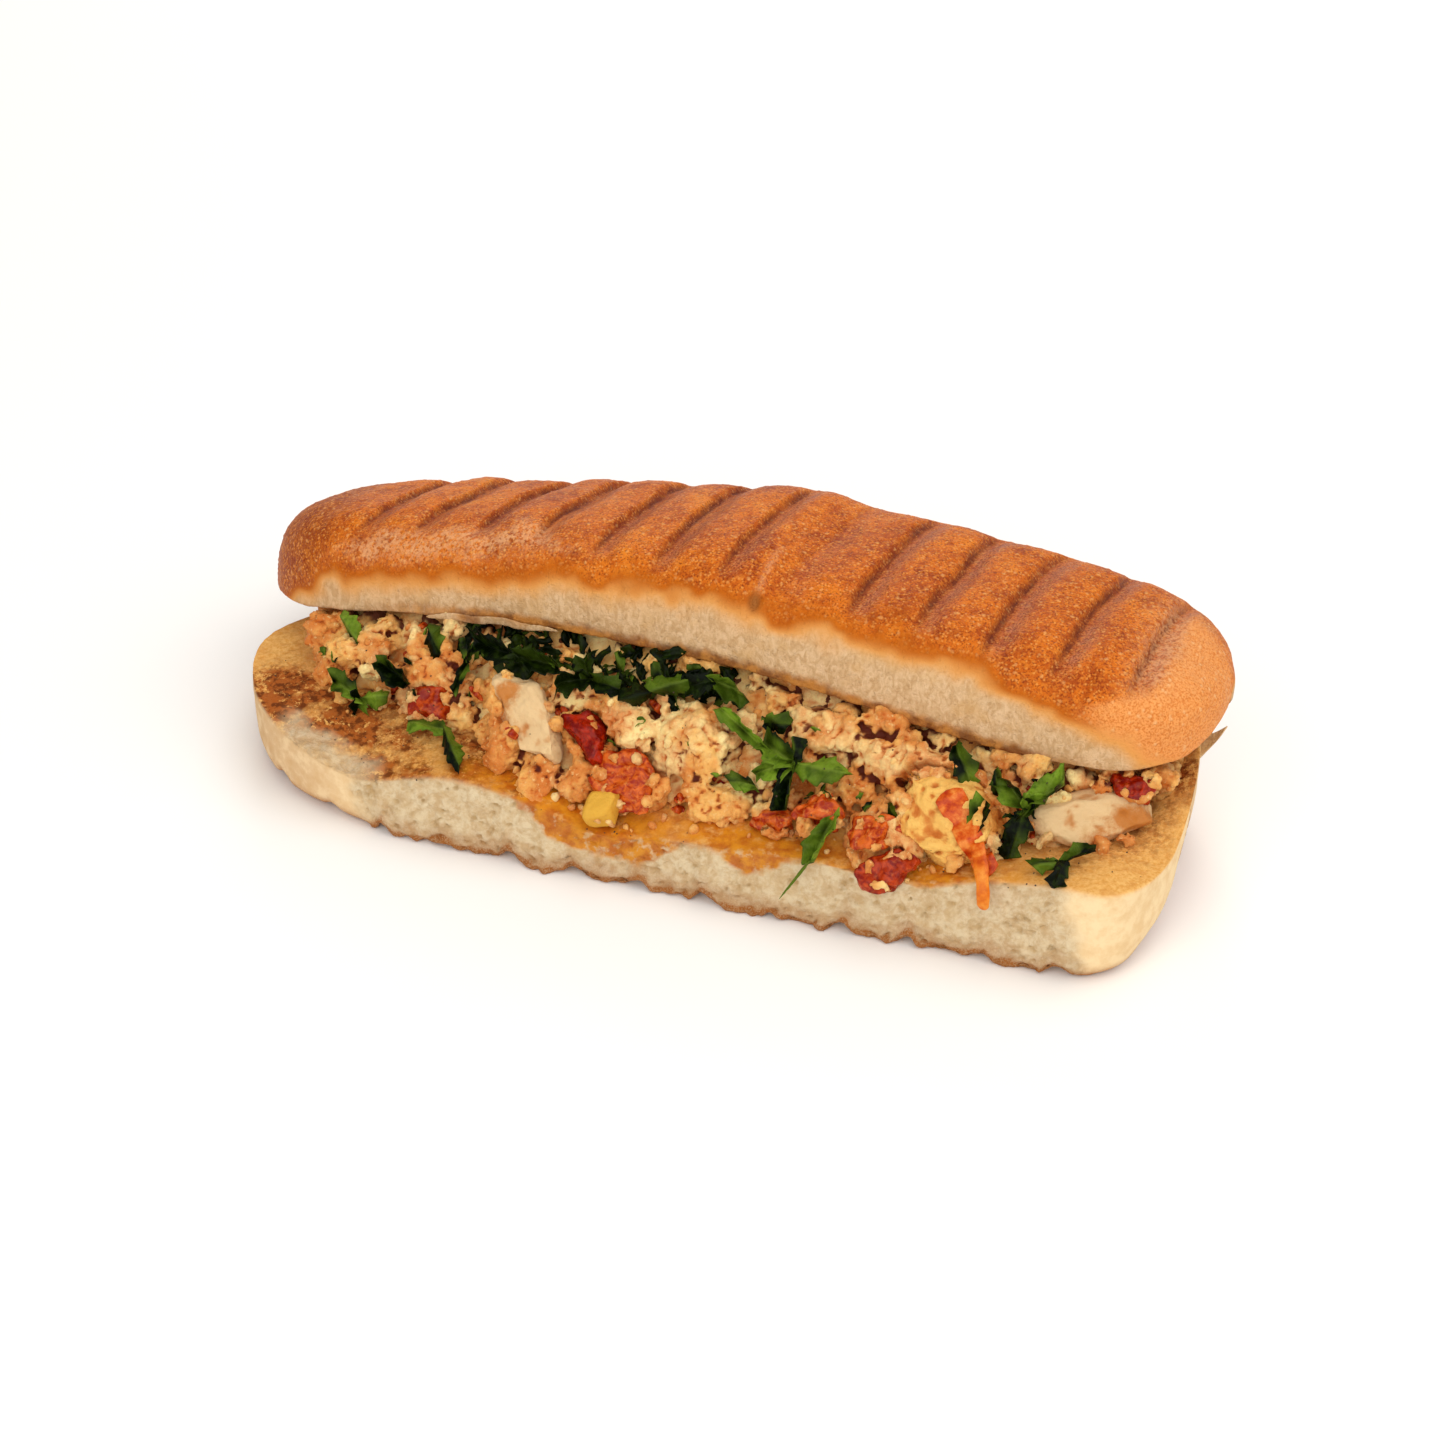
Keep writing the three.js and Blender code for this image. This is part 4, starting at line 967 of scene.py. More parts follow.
def bottom_half():
    x = roll_stations(BOTTOM["left"], BOTTOM["right"], STATION_STEP)[:, None]
    height = bottom_share(x, (26, 2), (34, 2))
    front = bottom_front(x)
    span = bottom_axis(x) + bottom_half_width(x) - front
    torn = smoothstep(-80, -54, x) * (1 - smoothstep(88, 105, x))
    across, up, kind = bottom_section(x, span, torn)
    y = front + across * span
    u = np.where(x < 0, x / -BOTTOM["left"], x / BOTTOM["right"])
    px = x + askew(u, y - BOTTOM["axis_y"])
    top = inner_face(px, y)
    station = np.stack([x, 0 * x, 0 * x], -1)
    phase = (x - BOTTOM["rib_start"]) / RIB_PITCH
    uneven = 0.75 + 0.45 * noise(station, 13, 55)
    underside = BOTTOM["rib_depth"] * uneven * valley(phase + 0.09 * noise(station, 9, 56))
    grid = np.stack([px, y, lerp(top - (top - underside) * height, top, up)], -1)
    grid = softened(grid, near(kind, ((HIGH, INNER), (INNER, WALL)), 3), 4)
    normal = grid_normals(grid)
    one = np.ones_like(x)
    side, face, below, rear_wall = (softened_mask(np.isin(kind, kinds)) * one
                                    for kinds in ((LOW, HIGH), INNER, UNDER, (WALL, ARC)))
    torn_mask = side * smoothstep(0.2, 0.8, torn + 0.7 * fractal(grid, 9, 3, 3) * 4 * torn * (1 - torn))
    # Crumb: soft lumps with open pores, a ragged lower rim, and a pale rough edge at the left.
    warped = grid + 0.8 * drift(grid, 1.7, 11)
    large_hole, _, draw = cells(warped * [1, 1, 1.4], 2.3, 3)
    small_hole, _, small_draw = cells(warped, 1.2, 9)
    pore = smoothstep(0.5, 0.1, large_hole) * (draw > 0.66)
    pore = pore + 0.4 * smoothstep(0.42, 0.1, small_hole) * (small_draw > 0.55)
    relief = 1.2 * fractal(grid, 6.5, 3, 1) + 0.75 * fractal(grid, 2.2, 3, 21) - 0.8 * pore - 0.1
    ragged = 1.3 * fractal(grid, 4.2, 3, 5) * smoothstep(4.5, 0.5, grid[..., 2] - underside)
    pale_edge = smoothstep(9, 4, grid[..., 1] - front + 3.5 * fractal(grid, 4, 3, 57))
    pale_edge = face * pale_edge * smoothstep(-96, -88, x) * smoothstep(-62, -70, x)
    moved = (torn_mask + 0.7 * pale_edge) * relief + torn_mask * ragged
    moved = moved + face * (0.32 * fractal(grid, 4, 3, 31) + 0.1 * fractal(grid, 1.3, 2, 37) - 0.25 * pore)
    moved = moved + (1 - torn_mask) * side * 0.35 * fractal(grid, 9, 3, 41)
    moved = moved - below * 0.3 * np.abs(fractal(grid, 3, 3, 43))
    grid = grid + normal * moved[..., None]
    grid[..., 2] = np.maximum(grid[..., 2], 0.0)
    gx, gy, gz = (grid[..., axis] for axis in range(3))
    # Toasted patches, and a darker line of painted shade along the toe of the filling.
    toast = sum(s * np.exp(-((gx - a) ** 2 + (gy - b) ** 2) / r**2) for a, b, r, s in TOASTED)
    toe_shade = 0.75 * np.exp(-(((gy - along(FILLING_TOE, gx) + 1) / 2.6) ** 2)) * smoothstep(-80, -60, gx)
    toast = np.clip(toast + toe_shade * smoothstep(30, -20, gx), 0, 1.3)
    # Oil along the front edge, which has run down the torn face in places.
    back = gy - torn_edge(gx)
    drop = inner_face(gx, gy) - gz
    oiled = along(OILED, gx)
    oil = oiled * smoothstep(17, 7, back) * smoothstep(-0.6, 1.6, back) * face
    spilled = sum(s * np.exp(-(((gx - a) / r) ** 2)) for a, r, s in SPILLED)
    run_length = 0.8 + 5 * np.clip(spilled, 0, 1)
    run_down = smoothstep(1.0, 0.5, (drop + 1.8 * fractal(grid, 3.5, 3, 47)) / run_length)
    oil = oil + (0.25 * oiled + 1.3 * spilled) * side * run_down
    # Browning of the lower rim, the underside and the rear, and painted shade that darkens the crust towards
    # the left end.
    edge = gz - underside
    rim = side * torn * smoothstep(2.6, 0.8, edge + 0.7 * noise(grid, 1.6, 51))
    rim = rim + 0.6 * (1 - torn) * side * smoothstep(3.5, 0.5, edge)
    browned = smoothstep(7.5, 1.5, edge + 2.4 * fractal(grid, 3.5, 3, 53)) * smoothstep(-85, -45, x)
    rim = rim + 0.55 * side * torn * browned
    # The term that grows towards the left end is painted shade.
    under = below + side * (1 - torn) * (0.6 * smoothstep(5, 1, edge) + 0.35 * smoothstep(-55, -90, x))
    under = under + rear_wall * (0.2 + 0.7 * smoothstep(9, 1, edge) + 0.5 * fractal(grid, 14, 3, 59))
    shares = dict(torn=torn_mask + pale_edge, oil=oil, rim=rim, pore=pore * torn_mask, under=under)
    masks = {key: np.clip(share, 0, 1) for key, share in shares.items()}
    masks.update(inner=face * (1 - 0.8 * pale_edge), toast=toast)
    return piece("roll_bottom", *tube(grid), "crumb", ("bread_bottom",), ring_masks(masks, grid))


# Top half.

CROWN_POINTS = 154
CUT_POINTS = 24
PRESSED_DEPTH = 1.9  # the valleys look shallower than in the solid, as their gentle sides fill them
VALLEY_STEEP, VALLEY_GENTLE = 0.11, 0.36  # reach of a pressed valley to its left and right, in pitches
# A torn pocket and a shallow dimple in the crust.
POCKET = dict(at=(13.6, -2.2, 58), size=(1.25, 2.6, 2.1), power=1.5)
DIMPLE = dict(at=(-18.6, -1.2, 54.3), size=(1.6, 2.5, 1.8), power=1)


def pressed(phase):
    """Depth of the pressed valleys of the crust, steep on the left side and gentle on the right."""
    off = phase - np.round(phase)
    share = np.minimum(np.abs(off) / np.where(off < 0, VALLEY_STEEP, VALLEY_GENTLE), 1)
    return (1 + np.cos(np.pi * share)) / 2


def hollow(grid, at, size, power):
    """Share of an oval hollow at each point."""
    far = (((grid - np.array(at)) / size) ** 2).sum(axis=-1)
    return np.exp(-(far**power))


def crown_outline():
    """Points of the arched side of the section, from the front edge to the rear one, evenly spaced."""
    angle = np.linspace(0, np.pi, 6001)
    bend = 2 / TOP["crown_power"]
    across = -np.sign(np.cos(angle)) * np.abs(np.cos(angle)) ** bend
    up = np.sin(angle) ** bend
    run = np.hypot(np.diff(across) * TOP["half_width"], np.diff(up) * 22)
    length = np.concatenate([[0], np.cumsum(run)])
    wanted = np.arange(CROWN_POINTS) / CROWN_POINTS
    wanted = (0.62 * wanted + 0.38 * wanted**2) * length[-1]
    return np.interp(wanted, length, across), np.interp(wanted, length, up)


def top_half():
    x = roll_stations(-TOP["half_length"], TOP["half_length"], STATION_STEP)[:, None]
    u = x / TOP["half_length"]
    width = top_half_width(x)
    thickness = along(TOP_THICKNESS, x)
    end = end_share(u, np.where(u < 0, 20, 12), 2)
    height = thickness * end
    undercut = np.where(u < 0, 0, TOP["right_undercut"] * thickness * (1 - end))
    base = undercut - along(TOP_DROOP, x)
    lean = along(TOP_LEAN, x)
    crown = crown_outline()
    t = np.arange(CUT_POINTS) / CUT_POINTS
    cut_across = 1 - 2 * (1.45 * t - 0.45 * t * t)
    across = np.concatenate([crown[0], cut_across])[None, :]
    up = np.concatenate([crown[1], 0 * cut_across])[None, :]
    is_cut = np.arange(across.shape[1]) >= CROWN_POINTS
    # Ribs pressed into the upper part, weaker by the kink and absent at the ends.
    phase = (x - TOP["rib_start"]) / RIB_PITCH
    wander = 0.06 * form_noise(x * 0.09, 2 * across, 5)
    unkinked = 1 - 0.8 * bell(x, KINK["at"], KINK["width"])
    ribbed = smoothstep(-104, -80, x) * smoothstep(110, 103, x) * unkinked
    shoulder = smoothstep(0.74 + 0.05 * form_noise(np.round(phase) * 1.7, 0, 9), 0.97, up)
    dip = pressed(phase + wander) * ribbed * shoulder
    swell = 0.4 * np.sin(np.pi * np.clip((phase - np.floor(phase) - 0.3) / 0.6, 0, 1)) * ribbed * shoulder
    high = height * up - PRESSED_DEPTH * dip + swell - 0.4 * shoulder
    back = (across + 1) * width
    y = -width + back * np.cos(lean) + high * np.sin(lean)
    z = base - back * np.sin(lean) + high * np.cos(lean)
    px = x + askew(u, y)
    z = z + 0.4 * form_noise(px * 0.07, y * 0.07, 11 + up)
    cos_turn, sin_turn = math.cos(TOP["turn"]), math.sin(TOP["turn"])
    grid = np.stack([px * cos_turn - y * sin_turn, px * sin_turn + y * cos_turn, z], -1)
    grid = softened(grid + np.array(TOP["place"]), near(is_cut, ((True, False), (False, True)), 2), 3)
    normal = grid_normals(grid)
    gx, gy, gz = (grid[..., axis] for axis in range(3))
    # Baking: pale along the lower part of the front, brown above.
    rear = smoothstep(0.2, 0.9, across)
    band = lerp(along(PALE_BAND, gx), 5.0, rear)
    level = up * height + 2.2 * noise(grid, 9, 61) + 1.1 * noise(grid, 3, 62)
    bake = smoothstep(band - 5.0, band + 7.0, level) * ~is_cut
    cut = softened_mask(is_cut, 3) * np.ones_like(x)
    low_edge = smoothstep(4.0, 1.6, up * height + 1.5 * fractal(grid, 3.4, 3, 63)) * ~is_cut
    low_edge = low_edge * smoothstep(-90, -40, x) * smoothstep(100, 80, x)
    cut = np.clip(cut + 0.9 * low_edge, 0, 1)
    # Relief: soft upright wrinkles in the pale band, fine grain and blisters on the crust.
    front = smoothstep(-0.55, -0.95, across) * smoothstep(0.02, 0.1, up)
    upright = grid * [1, 1, 0.45]
    wrinkle = front * (1 - bake) * (0.36 * fractal(upright, 8, 2, 71) + 0.16 * fractal(grid, 1.8, 3, 75))
    blister, _, draw = cells(grid, 1.5, 81)
    grain = bake * (0.12 * fractal(grid, 1.3, 2, 83) + 0.14 * smoothstep(0.45, 0.1, blister) * (draw > 0.6))
    undulate = 0.45 * fractal(grid, 16, 3, 91) + 0.22 * fractal(grid, 6, 2, 93)
    # A crease behind the pocket, and a fold down the front at the right.
    pocket, dimple = hollow(grid, **POCKET), hollow(grid, **DIMPLE)
    crease = bell(gx, 14 + 1.5 * np.clip((gy + 1) / 15, 0, 1), 0.8)
    crease = crease * smoothstep(-3, 0, gy) * smoothstep(15, 9, gy) * (gz > 50)
    fold = bell(gx, 87 + 0.35 * (gz - 50), 1.1) * smoothstep(0.55, 0.8, up) * smoothstep(-0.5, -0.8, across)
    moved = undulate + wrinkle + grain - 2.4 * pocket + 0.55 * crease - 0.9 * dimple - 0.7 * fold
    moved = moved - 0.6 * np.abs(cut * fractal(grid, 2, 2, 95))
    grid = grid + normal * moved[..., None]
    # Colours: the grooves, darkened with painted shade, and their slopes, with a painted sheen; the lighter
    # right end; and a painted sheen along two places and the crease.
    off = phase + wander - np.round(phase + wander)
    cap_line = gx - 86 - 4.5 * np.maximum(gz - 51, 0) + 3.5 * noise(grid, 5, 66)
    above = level - band + 1.4 * noise(grid, 6, 64)
    left_sheen = smoothstep(-98, -84, gx) * smoothstep(-22, -48, gx) * bell(above, 7.5, 2.4)
    right_sheen = smoothstep(92, 104, gx) * smoothstep(49, 54, gz)
    masks = dict(
        bake=bake,
        groove=ribbed * shoulder * bell(off + 0.012 * noise(grid, 2, 65), -0.02, 0.05),
        slope=ribbed * shoulder * bell(off, 0.15, 0.13),
        cut=cut,
        hole=np.clip(1.3 * pocket, 0, 1),
        left_end=smoothstep(-93, -102, gx),
        cap=smoothstep(0, 9, cap_line) * (1 - dip) * (1 - 0.8 * rear),
        sheen=np.clip((left_sheen + 0.6 * crease + 0.9 * right_sheen) * (1 - rear), 0, 1),
    )
    piece("roll_top", *tube(grid), "crust", ("bread_top",), ring_masks(masks, grid))


# Filling.

def heap_brow(x):
    return top_front(x) + FILLING["brow_setback"]


def heap_heel(x):
    return bottom_axis(x) + bottom_half_width(x) - FILLING["heel_setback"]


def heap_floor(x, y):
    return inner_face(x, y) + 0.2


def heap_roof(x, y):
    return np.maximum(cut_face(x, y) - 0.5, heap_floor(x, y) + FILLING["thinnest"])


def slope_point(x, share):
    """Point on the front slope of the filling, a share of the way up from its toe."""
    toe, brow = along(FILLING_TOE, x), heap_brow(x)
    low = inner_face(x, toe) + FILLING["margin"]
    high = cut_face(x, brow) - FILLING["margin"]
    return np.stack(np.broadcast_arrays(x, lerp(toe, brow, share**1.2), lerp(low, high, share)), -1)


def heap_core(setback):
    """The body of the heap without its curds, set back from the front slope."""
    rings = []
    rise = np.linspace(0, 1, 14)[1:-1]
    for x in np.linspace(FILLING["left"], FILLING["right"], 90):
        brow, toe, heel = heap_brow(x) + setback, along(FILLING_TOE, x) + setback, heap_heel(x)
        bottom, top = np.linspace(heel, toe, 24), np.linspace(brow, heel + 1, 24)
        fall = rise[::-1]
        y = np.concatenate([bottom, lerp(toe, brow, rise**1.2), top, lerp(heel, heel + 1, fall)])
        z = np.concatenate([heap_floor(x, bottom), lerp(heap_floor(x, toe), heap_roof(x, brow), rise),
                            heap_roof(x, top), lerp(heap_floor(x, heel), heap_roof(x, heel + 1), fall)])
        rings.append(np.stack([np.full_like(y, x), y, z], -1))
    return tube(np.array(rings))


def front_layer(left, right, setback=3.6, thickness=3.5):
    """A layer of the heap behind its front slope."""
    rings = []
    inward = -np.array([0, OUTWARD[1], OUTWARD[2]])
    for x in np.linspace(left, right, 60):
        share = np.linspace(0, 1, 16)
        front = slope_point(np.full_like(share, x), share) + inward * setback
        behind = front + inward * thickness
        for side in (front, behind):
            side[:, 2] = np.maximum(side[:, 2], inner_face(x, side[:, 1]) + 0.3)
        rings.append(np.concatenate([front, behind[::-1]]))
    return tube(np.array(rings))


CRUMBLE_ROWS = (0.06, 0.33, 0.58, 0.82)  # heights of the rows of crumbles, as shares of the slope
CRUMBLE_PITCH = 7.5
CRUMBS_ON_CURDS = 2400
CRUMBS_ON_SLOPE = 800


def heap_lumps(random):
    """Curds, crumbles and crumbs of scrambled egg on the front slope, with the curds' middles and tones."""
    parts, middles, tones = [], [], []
    for i, curd in enumerate(CURDS):
        form = {key: value for key, value in curd.items() if key != "tone"}
        parts.append(chunk(**form, seed=i, planes=16))
        middles.append(curd["at"])
        tones.append(curd["tone"])
    for share in CRUMBLE_ROWS:
        for x in np.arange(FILLING["left"] + 4, FILLING["right"], CRUMBLE_PITCH):
            at = slope_point(x + 4 * random.random(), share + 0.18 * random.random())
            at = at - OUTWARD * random.uniform(0.3, 2.4)
            size = (4.5 if share < 0.8 else 3.5) + 4.5 * random.random(3)
            parts.append(chunk(at, size, turn=3 * random.random(), seed=40 + len(parts), level=3))
            middles.append(at)
            tones.append(random.uniform(0.0, 0.9))
    # Crumbs sit on the curds, on the crumbles and on the bare slope between them.
    on_curds = np.concatenate([part[0] for part in parts])
    on_curds = on_curds[random.permutation(len(on_curds))[:CRUMBS_ON_CURDS]]
    x = random.uniform(FILLING["left"], FILLING["right"], CRUMBS_ON_SLOPE)
    on_slope = slope_point(x, random.uniform(0.02, 1, CRUMBS_ON_SLOPE)) - OUTWARD * 3.4
    for at in np.concatenate([on_curds, on_slope]):
        size = (0.9 + 2.8 * random.random() ** 2) * random.uniform(0.6, 1.3, 3)
        parts.append(crumb(random, at, size, 2, 14))
    return parts, np.array(middles), np.array(tones)


def crumb(random, at, size, level, sharp):
    """A small broken bit, turned at random."""
    return chunk(at, size, turn=6 * random.random(), lean=3 * random.random(), seed=random.integers(1, 900),
                 level=level, planes=8, sharp=sharp)


def edge_crumbles(random):
    """Crumbles of egg that cling to the edges of the larger toppings, with their places and reach."""
    parts, spots = [], []
    wanted = [(form, TOMATO_CRUMBLES) for form in TOMATO_PIECES.values()]
    wanted += [(EGG_PIECES[name], crumbles) for name, crumbles in EGG_CRUMBLES.items()]
    for form, (count, size) in wanted:
        for angle in random.uniform(0.3, 2 * np.pi - 0.3, count):
            reach = random.uniform(0.82, 1.05)
            local = np.array([[reach * math.cos(angle), reach * math.sin(angle), 0.25]]) * form["size"] / 2
            at = turned(local, form.get("turn", 0), form.get("lean", SLOPE), form.get("heading", 0))[0]
            at = at + form["at"]
            sides = random.uniform(*size) * random.uniform(0.7, 1.2, 3)
            parts.append(chunk(at, sides, turn=3 * random.random(), seed=random.integers(1, 900), level=3))
            spots.append((at, 0.55 * sides.max() + 0.3))
    return parts, spots


def cragged(points, faces, amount=1.0):
    """Small crags of crumbly egg, and how deep each point lies among its close and its wider neighbours."""
    normal = normals_of(points, faces)
    nearest, second, _ = cells(points + 0.9 * drift(points, 2.2, 100), 3.0, 104)
    crack = smoothstep(0.25, 0.0, second - nearest)
    broad = np.abs(fractal(points, 3.4, 3, 107))
    moved = 1.8 * broad + 0.75 * np.abs(fractal(points, 1.5, 2, 109)) - 0.5 - 0.2 * crack
    points = points + amount * normal * moved[:, None]
    close = smoothed(points, faces, 9)
    wide = smoothed(close, faces, 51)
    cavity, deep = (((even - points) * normals_of(even, faces)).sum(axis=1) / depth
                    for even, depth in ((close, 0.45), (wide, 1.25)))
    seam = smoothstep(0.07, 0.0, broad)
    return points, np.clip(cavity + 0.16 * seam, 0, 1.5), np.clip(deep, 0, 1.5)


def toppings_tree(objects):
    """A tree of the triangles of several pieces, for finding what lies where."""
    points, faces, start = [], [], 0
    for made in objects:
        mesh = made.data
        co = np.empty(3 * len(mesh.vertices), np.float32)
        mesh.vertices.foreach_get("co", co)
        index = np.empty(len(mesh.loops), np.int32)
        mesh.loops.foreach_get("vertex_index", index)
        points.append(co.reshape(-1, 3) / MM - SHIFT)
        faces.append(index.reshape(-1, 3) + start)
        start += len(mesh.vertices)
    return BVHTree.FromPolygons(np.concatenate(points).tolist(), np.concatenate(faces).tolist())


def push_behind(points, tree, reach, margin):
    """How far each point has to move to lie behind the face of the nearest topping by the margin."""
    inward = Vector((-OUTWARD).tolist())
    hits = [tree.ray_cast(Vector(p), inward, reach)[3] for p in points]
    return np.array([hit + margin if hit else 0.0 for hit in hits])


def behind_toppings(points, faces, firm, thin, spots, reach=7.0):
    """Moves what lies in front of a topping to just behind its face, with a soft margin for firm ones.

    Crumbles that cling to a firm topping stay where they are.
    """
    push = push_behind(points, firm, reach, 0.8)
    push = np.maximum(push, np.minimum(1.3 * smoothed(push, faces, 5), reach))
    for at, radius in spots:
        push[((points - at) ** 2).sum(axis=1) < radius**2] = 0
    return points - OUTWARD * np.maximum(push, push_behind(points, thin, reach, 0.5))[:, None]


def tone_of(points, middles, tones):
    """The tone of the curd that each point is nearest to."""
    nearest = np.full(len(points), 1e9)
    tone = np.zeros(len(points))
    for middle, value in zip(middles, tones):
        far = ((points - middle) ** 2).sum(axis=1)
        tone = np.where(far < nearest, value, tone)
        nearest = np.minimum(far, nearest)
    return tone


def egg_stain(points):
    return 0.5 + 0.5 * fractal(points, 9, 2, 111)


def heap_front(name, left, right, chosen, trees, spots, curds):
    """Part of the front of the heap, with its curds, crumbles and crumbs as one crumbly surface."""
    points, faces, _ = joined([front_layer(left, right)] + chosen)
    points, faces = remeshed(points, faces, HEAP_VOXEL)
    points, cavity, deep = cragged(points, faces)
    points = behind_toppings(points, faces, *trees, spots)
    x, y = points[:, 0], points[:, 1]
    points[:, 2] = np.maximum(points[:, 2], inner_face(x, y) - 0.4)
    # The tone grows towards the left end, which darkens the egg there with painted shade.
    tone = smoothed(tone_of(points, *curds), faces, 3) + 0.4 * smoothstep(-78, -92, x)
    # Painted shadow under the brow of the top half, weaker at the open right end.
    open_end = 1 - 0.75 * smoothstep(84, 94, x)
    deep = deep + 0.9 * open_end * smoothstep(-0.5, 4.0, y - top_front(x))
    masks = dict(cavity=cavity, deep=deep, stain=egg_stain(points), tone=tone)
    return piece(name, points, faces, "egg", ("egg_filling",), masks)


def heap_inside(random):
    """The rest of the heap, with blunt lumps along its heel and at its ends."""
    parts = [heap_core(3.2)]
    for x in np.arange(FILLING["left"] + 6, FILLING["right"], 9):
        for share in (0.25, 0.75):
            y = heap_heel(x)
            z = lerp(inner_face(x, y), cut_face(x, y), share)
            parts.append(chunk((x + 4 * random.random(), y, z), 5 + 5 * random.random(3), lean=0,
                               turn=3 * random.random(), seed=int(x) + 300, level=3))
    for y in (8, 14, 20, 26):
        for x, z in ((FILLING["left"] + 0.5, 23), (FILLING["right"] - 0.5, 28)):
            at, size = (x, y, z + 4 * random.random()), 5 + 4 * random.random(3)
            parts.append(chunk(at, size, lean=0, seed=y, level=3))
    points, faces, _ = joined(parts)
    points, faces = remeshed(points, faces, CORE_VOXEL)
    points, cavity, deep = cragged(points, faces, 0.8)
    masks = dict(cavity=cavity, deep=deep, stain=egg_stain(points), tone=0.5 + 0.5 * noise(points, 9, 113))
    return piece("egg_core", points, faces, "egg", ("egg_filling",), masks)


def egg_heap(firm, thin):
    random = np.random.default_rng(41)
    parts, *curds = heap_lumps(random)
    clinging, spots = edge_crumbles(random)
    trees = toppings_tree(firm), toppings_tree(thin)
    left, right = [], []
    for part in parts + clinging:
        (left if part[0].mean(axis=0)[0] < 0 else right).append(part)
    return [
        heap_front("egg_front_left", FILLING["left"], 2.0, left, trees, spots, curds),
        heap_front("egg_front_right", -2.0, FILLING["right"], right, trees, spots, curds),
        heap_inside(random),
    ]


def egg_pieces():
    made = []
    for i, (name, form) in enumerate(EGG_PIECES.items()):
        material, level, rough = EGG_LOOKS[name]
        points, faces = lump(**form, seed=80 + i, level=level)
        points = smoothed(points, faces, 8)
        points = points + 0.9 * rough * drift(points, 5, 220 + 3 * i)
        normal = normals_of(points, faces)
        moved = rough * (0.8 * fractal(points, 3.4, 4, 120 + i) + 0.12 * fractal(points, 1.0, 2, 130 + i))
        if material == "egg_smooth":
            moved = moved + 1.6 * np.abs(fractal(points, 4.5, 3, 135)) - 0.4
            hole, _, draw = cells(points, 2.4, 133)
            moved = moved - 0.8 * smoothstep(0.5, 0.1, hole) * (draw > 0.4)
        points = points + normal * moved[:, None]
        # The cavity mask colours the hollows with a sauce stain and painted shade.
        even = smoothed(points, faces, 24)
        cavity = ((even - points) * normal).sum(axis=1) / 0.5
        stain = 0.15 * fractal(points, 5, 2, 140 + i)
        for offset, radius, strength in EGG_STAINS[name]:
            far = ((points - np.array(form["at"]) - offset) ** 2).sum(axis=1)
            stain = stain + strength * np.exp(-far / radius**2)
        masks = dict(cavity=np.clip(cavity, 0, 1), stain=np.clip(stain, 0, 1.2))
        made.append(piece(name + "_cooked", points, faces, material, (name,), masks))
    return made


def tomato_pieces():
    made = []
    for i, (name, form) in enumerate(TOMATO_PIECES.items()):
        points, faces = chunk(**form, seed=60 + i, level=5, planes=7, sharp=6)
        points = form["at"] + (points - form["at"]) * 1.06
        points = points + 1.1 * drift(points, 3.4, 190 + 3 * i)
        ridge = 0.35 if name in TOMATO_TONES else 0.6
        moved = 0.7 * fractal(points, 3, 3, 150 + i)
        moved = moved + ridge * (1 - 3 * np.abs(fractal(points, 3.6, 2, 160 + i))) - 0.35
        points = points + normals_of(points, faces) * moved[:, None]
        masks = dict(tone=TOMATO_TONES.get(name, PULP_TONE))
        made.append(piece(name + "_cooked", points, faces, "tomato", (name,), masks))
    return made


def bezier(start, by, end, t):
    """Points and directions along a quadratic curve."""
    a, b, c = (np.array(p, float) for p in (start, by, end))
    t = t[:, None]
    at = (1 - t) ** 2 * a + 2 * t * (1 - t) * b + t**2 * c
    return at, unit(2 * (1 - t) * (b - a) + 2 * t * (c - b))


def ribbon(path, width, thickness, facing=OUTWARD, sides=18, taper=0.3, seed=0, ragged=0.12, waver=0.0,
           blunt=2.2):
    """A soft strip of oval section along a path, with its broad side facing outwards."""
    t = np.linspace(0, 1, len(path))
    taper = taper + waver * noise(path, 1.5 * width, seed + 7) / np.maximum(t, 0.15)
    ahead = unit(np.gradient(path, axis=0))
    across = unit(np.cross(facing, ahead))
    out = np.cross(ahead, across)
    full = (1 - taper * t) * np.minimum(1, blunt * np.sqrt(np.maximum(t * (1 - t), 0.0004)))
    angle = np.linspace(0, 2 * np.pi, sides, endpoint=False)
    wide = np.sign(np.cos(angle)) * np.abs(np.cos(angle)) ** 0.8
    rings = (path[:, None] + across[:, None] * (full[:, None] * wide * width / 2)[..., None]
             + out[:, None] * (full[:, None] * np.sin(angle) * thickness / 2)[..., None])
    points, faces = tube(rings)
    normal = normals_of(points, faces)
    return points + normal * (ragged * width * fractal(points, 0.7 * width, 3, seed))[:, None], faces


def laid_on(path, tree, lift):
    """A path moved along the slope's outward direction onto the surface that lies under it."""
    laid = []
    for p in path:
        hit = tree.ray_cast(Vector(p + 12 * OUTWARD), Vector(-OUTWARD), 24)
        laid.append(p if hit[0] is None else np.array(hit[0]) + lift * OUTWARD)
    laid = np.array(laid)
    for _ in range(6):
        laid[1:-1] = (laid[:-2] + 2 * laid[1:-1] + laid[2:]) / 4
    return laid


def pepper_strips(tree):
    made = []
    for i, (name, form) in enumerate(PEPPER_STRIPS.items()):
        start, end = np.array(form["start"], float), np.array(form["end"], float)
        by = (start + end) / 2 if form["by"] is None else form["by"]
        path, _ = bezier(start, by, end, np.linspace(0, 1, 60))
        if form["by"] is None:
            path = laid_on(path, tree, 0.35)
        points, faces = ribbon(path, form["width"], form["thickness"], sides=24, seed=170 + i,
                               taper=form["taper"], ragged=0.03, waver=0.3, blunt=4.0)
        tone = smoothstep(28, 22, points[:, 2]) if name == "pepper_tail" else 0.0
        made.append(piece(name + "_cooked", points, faces, "pepper", (name,), dict(tone=tone)))
    return made


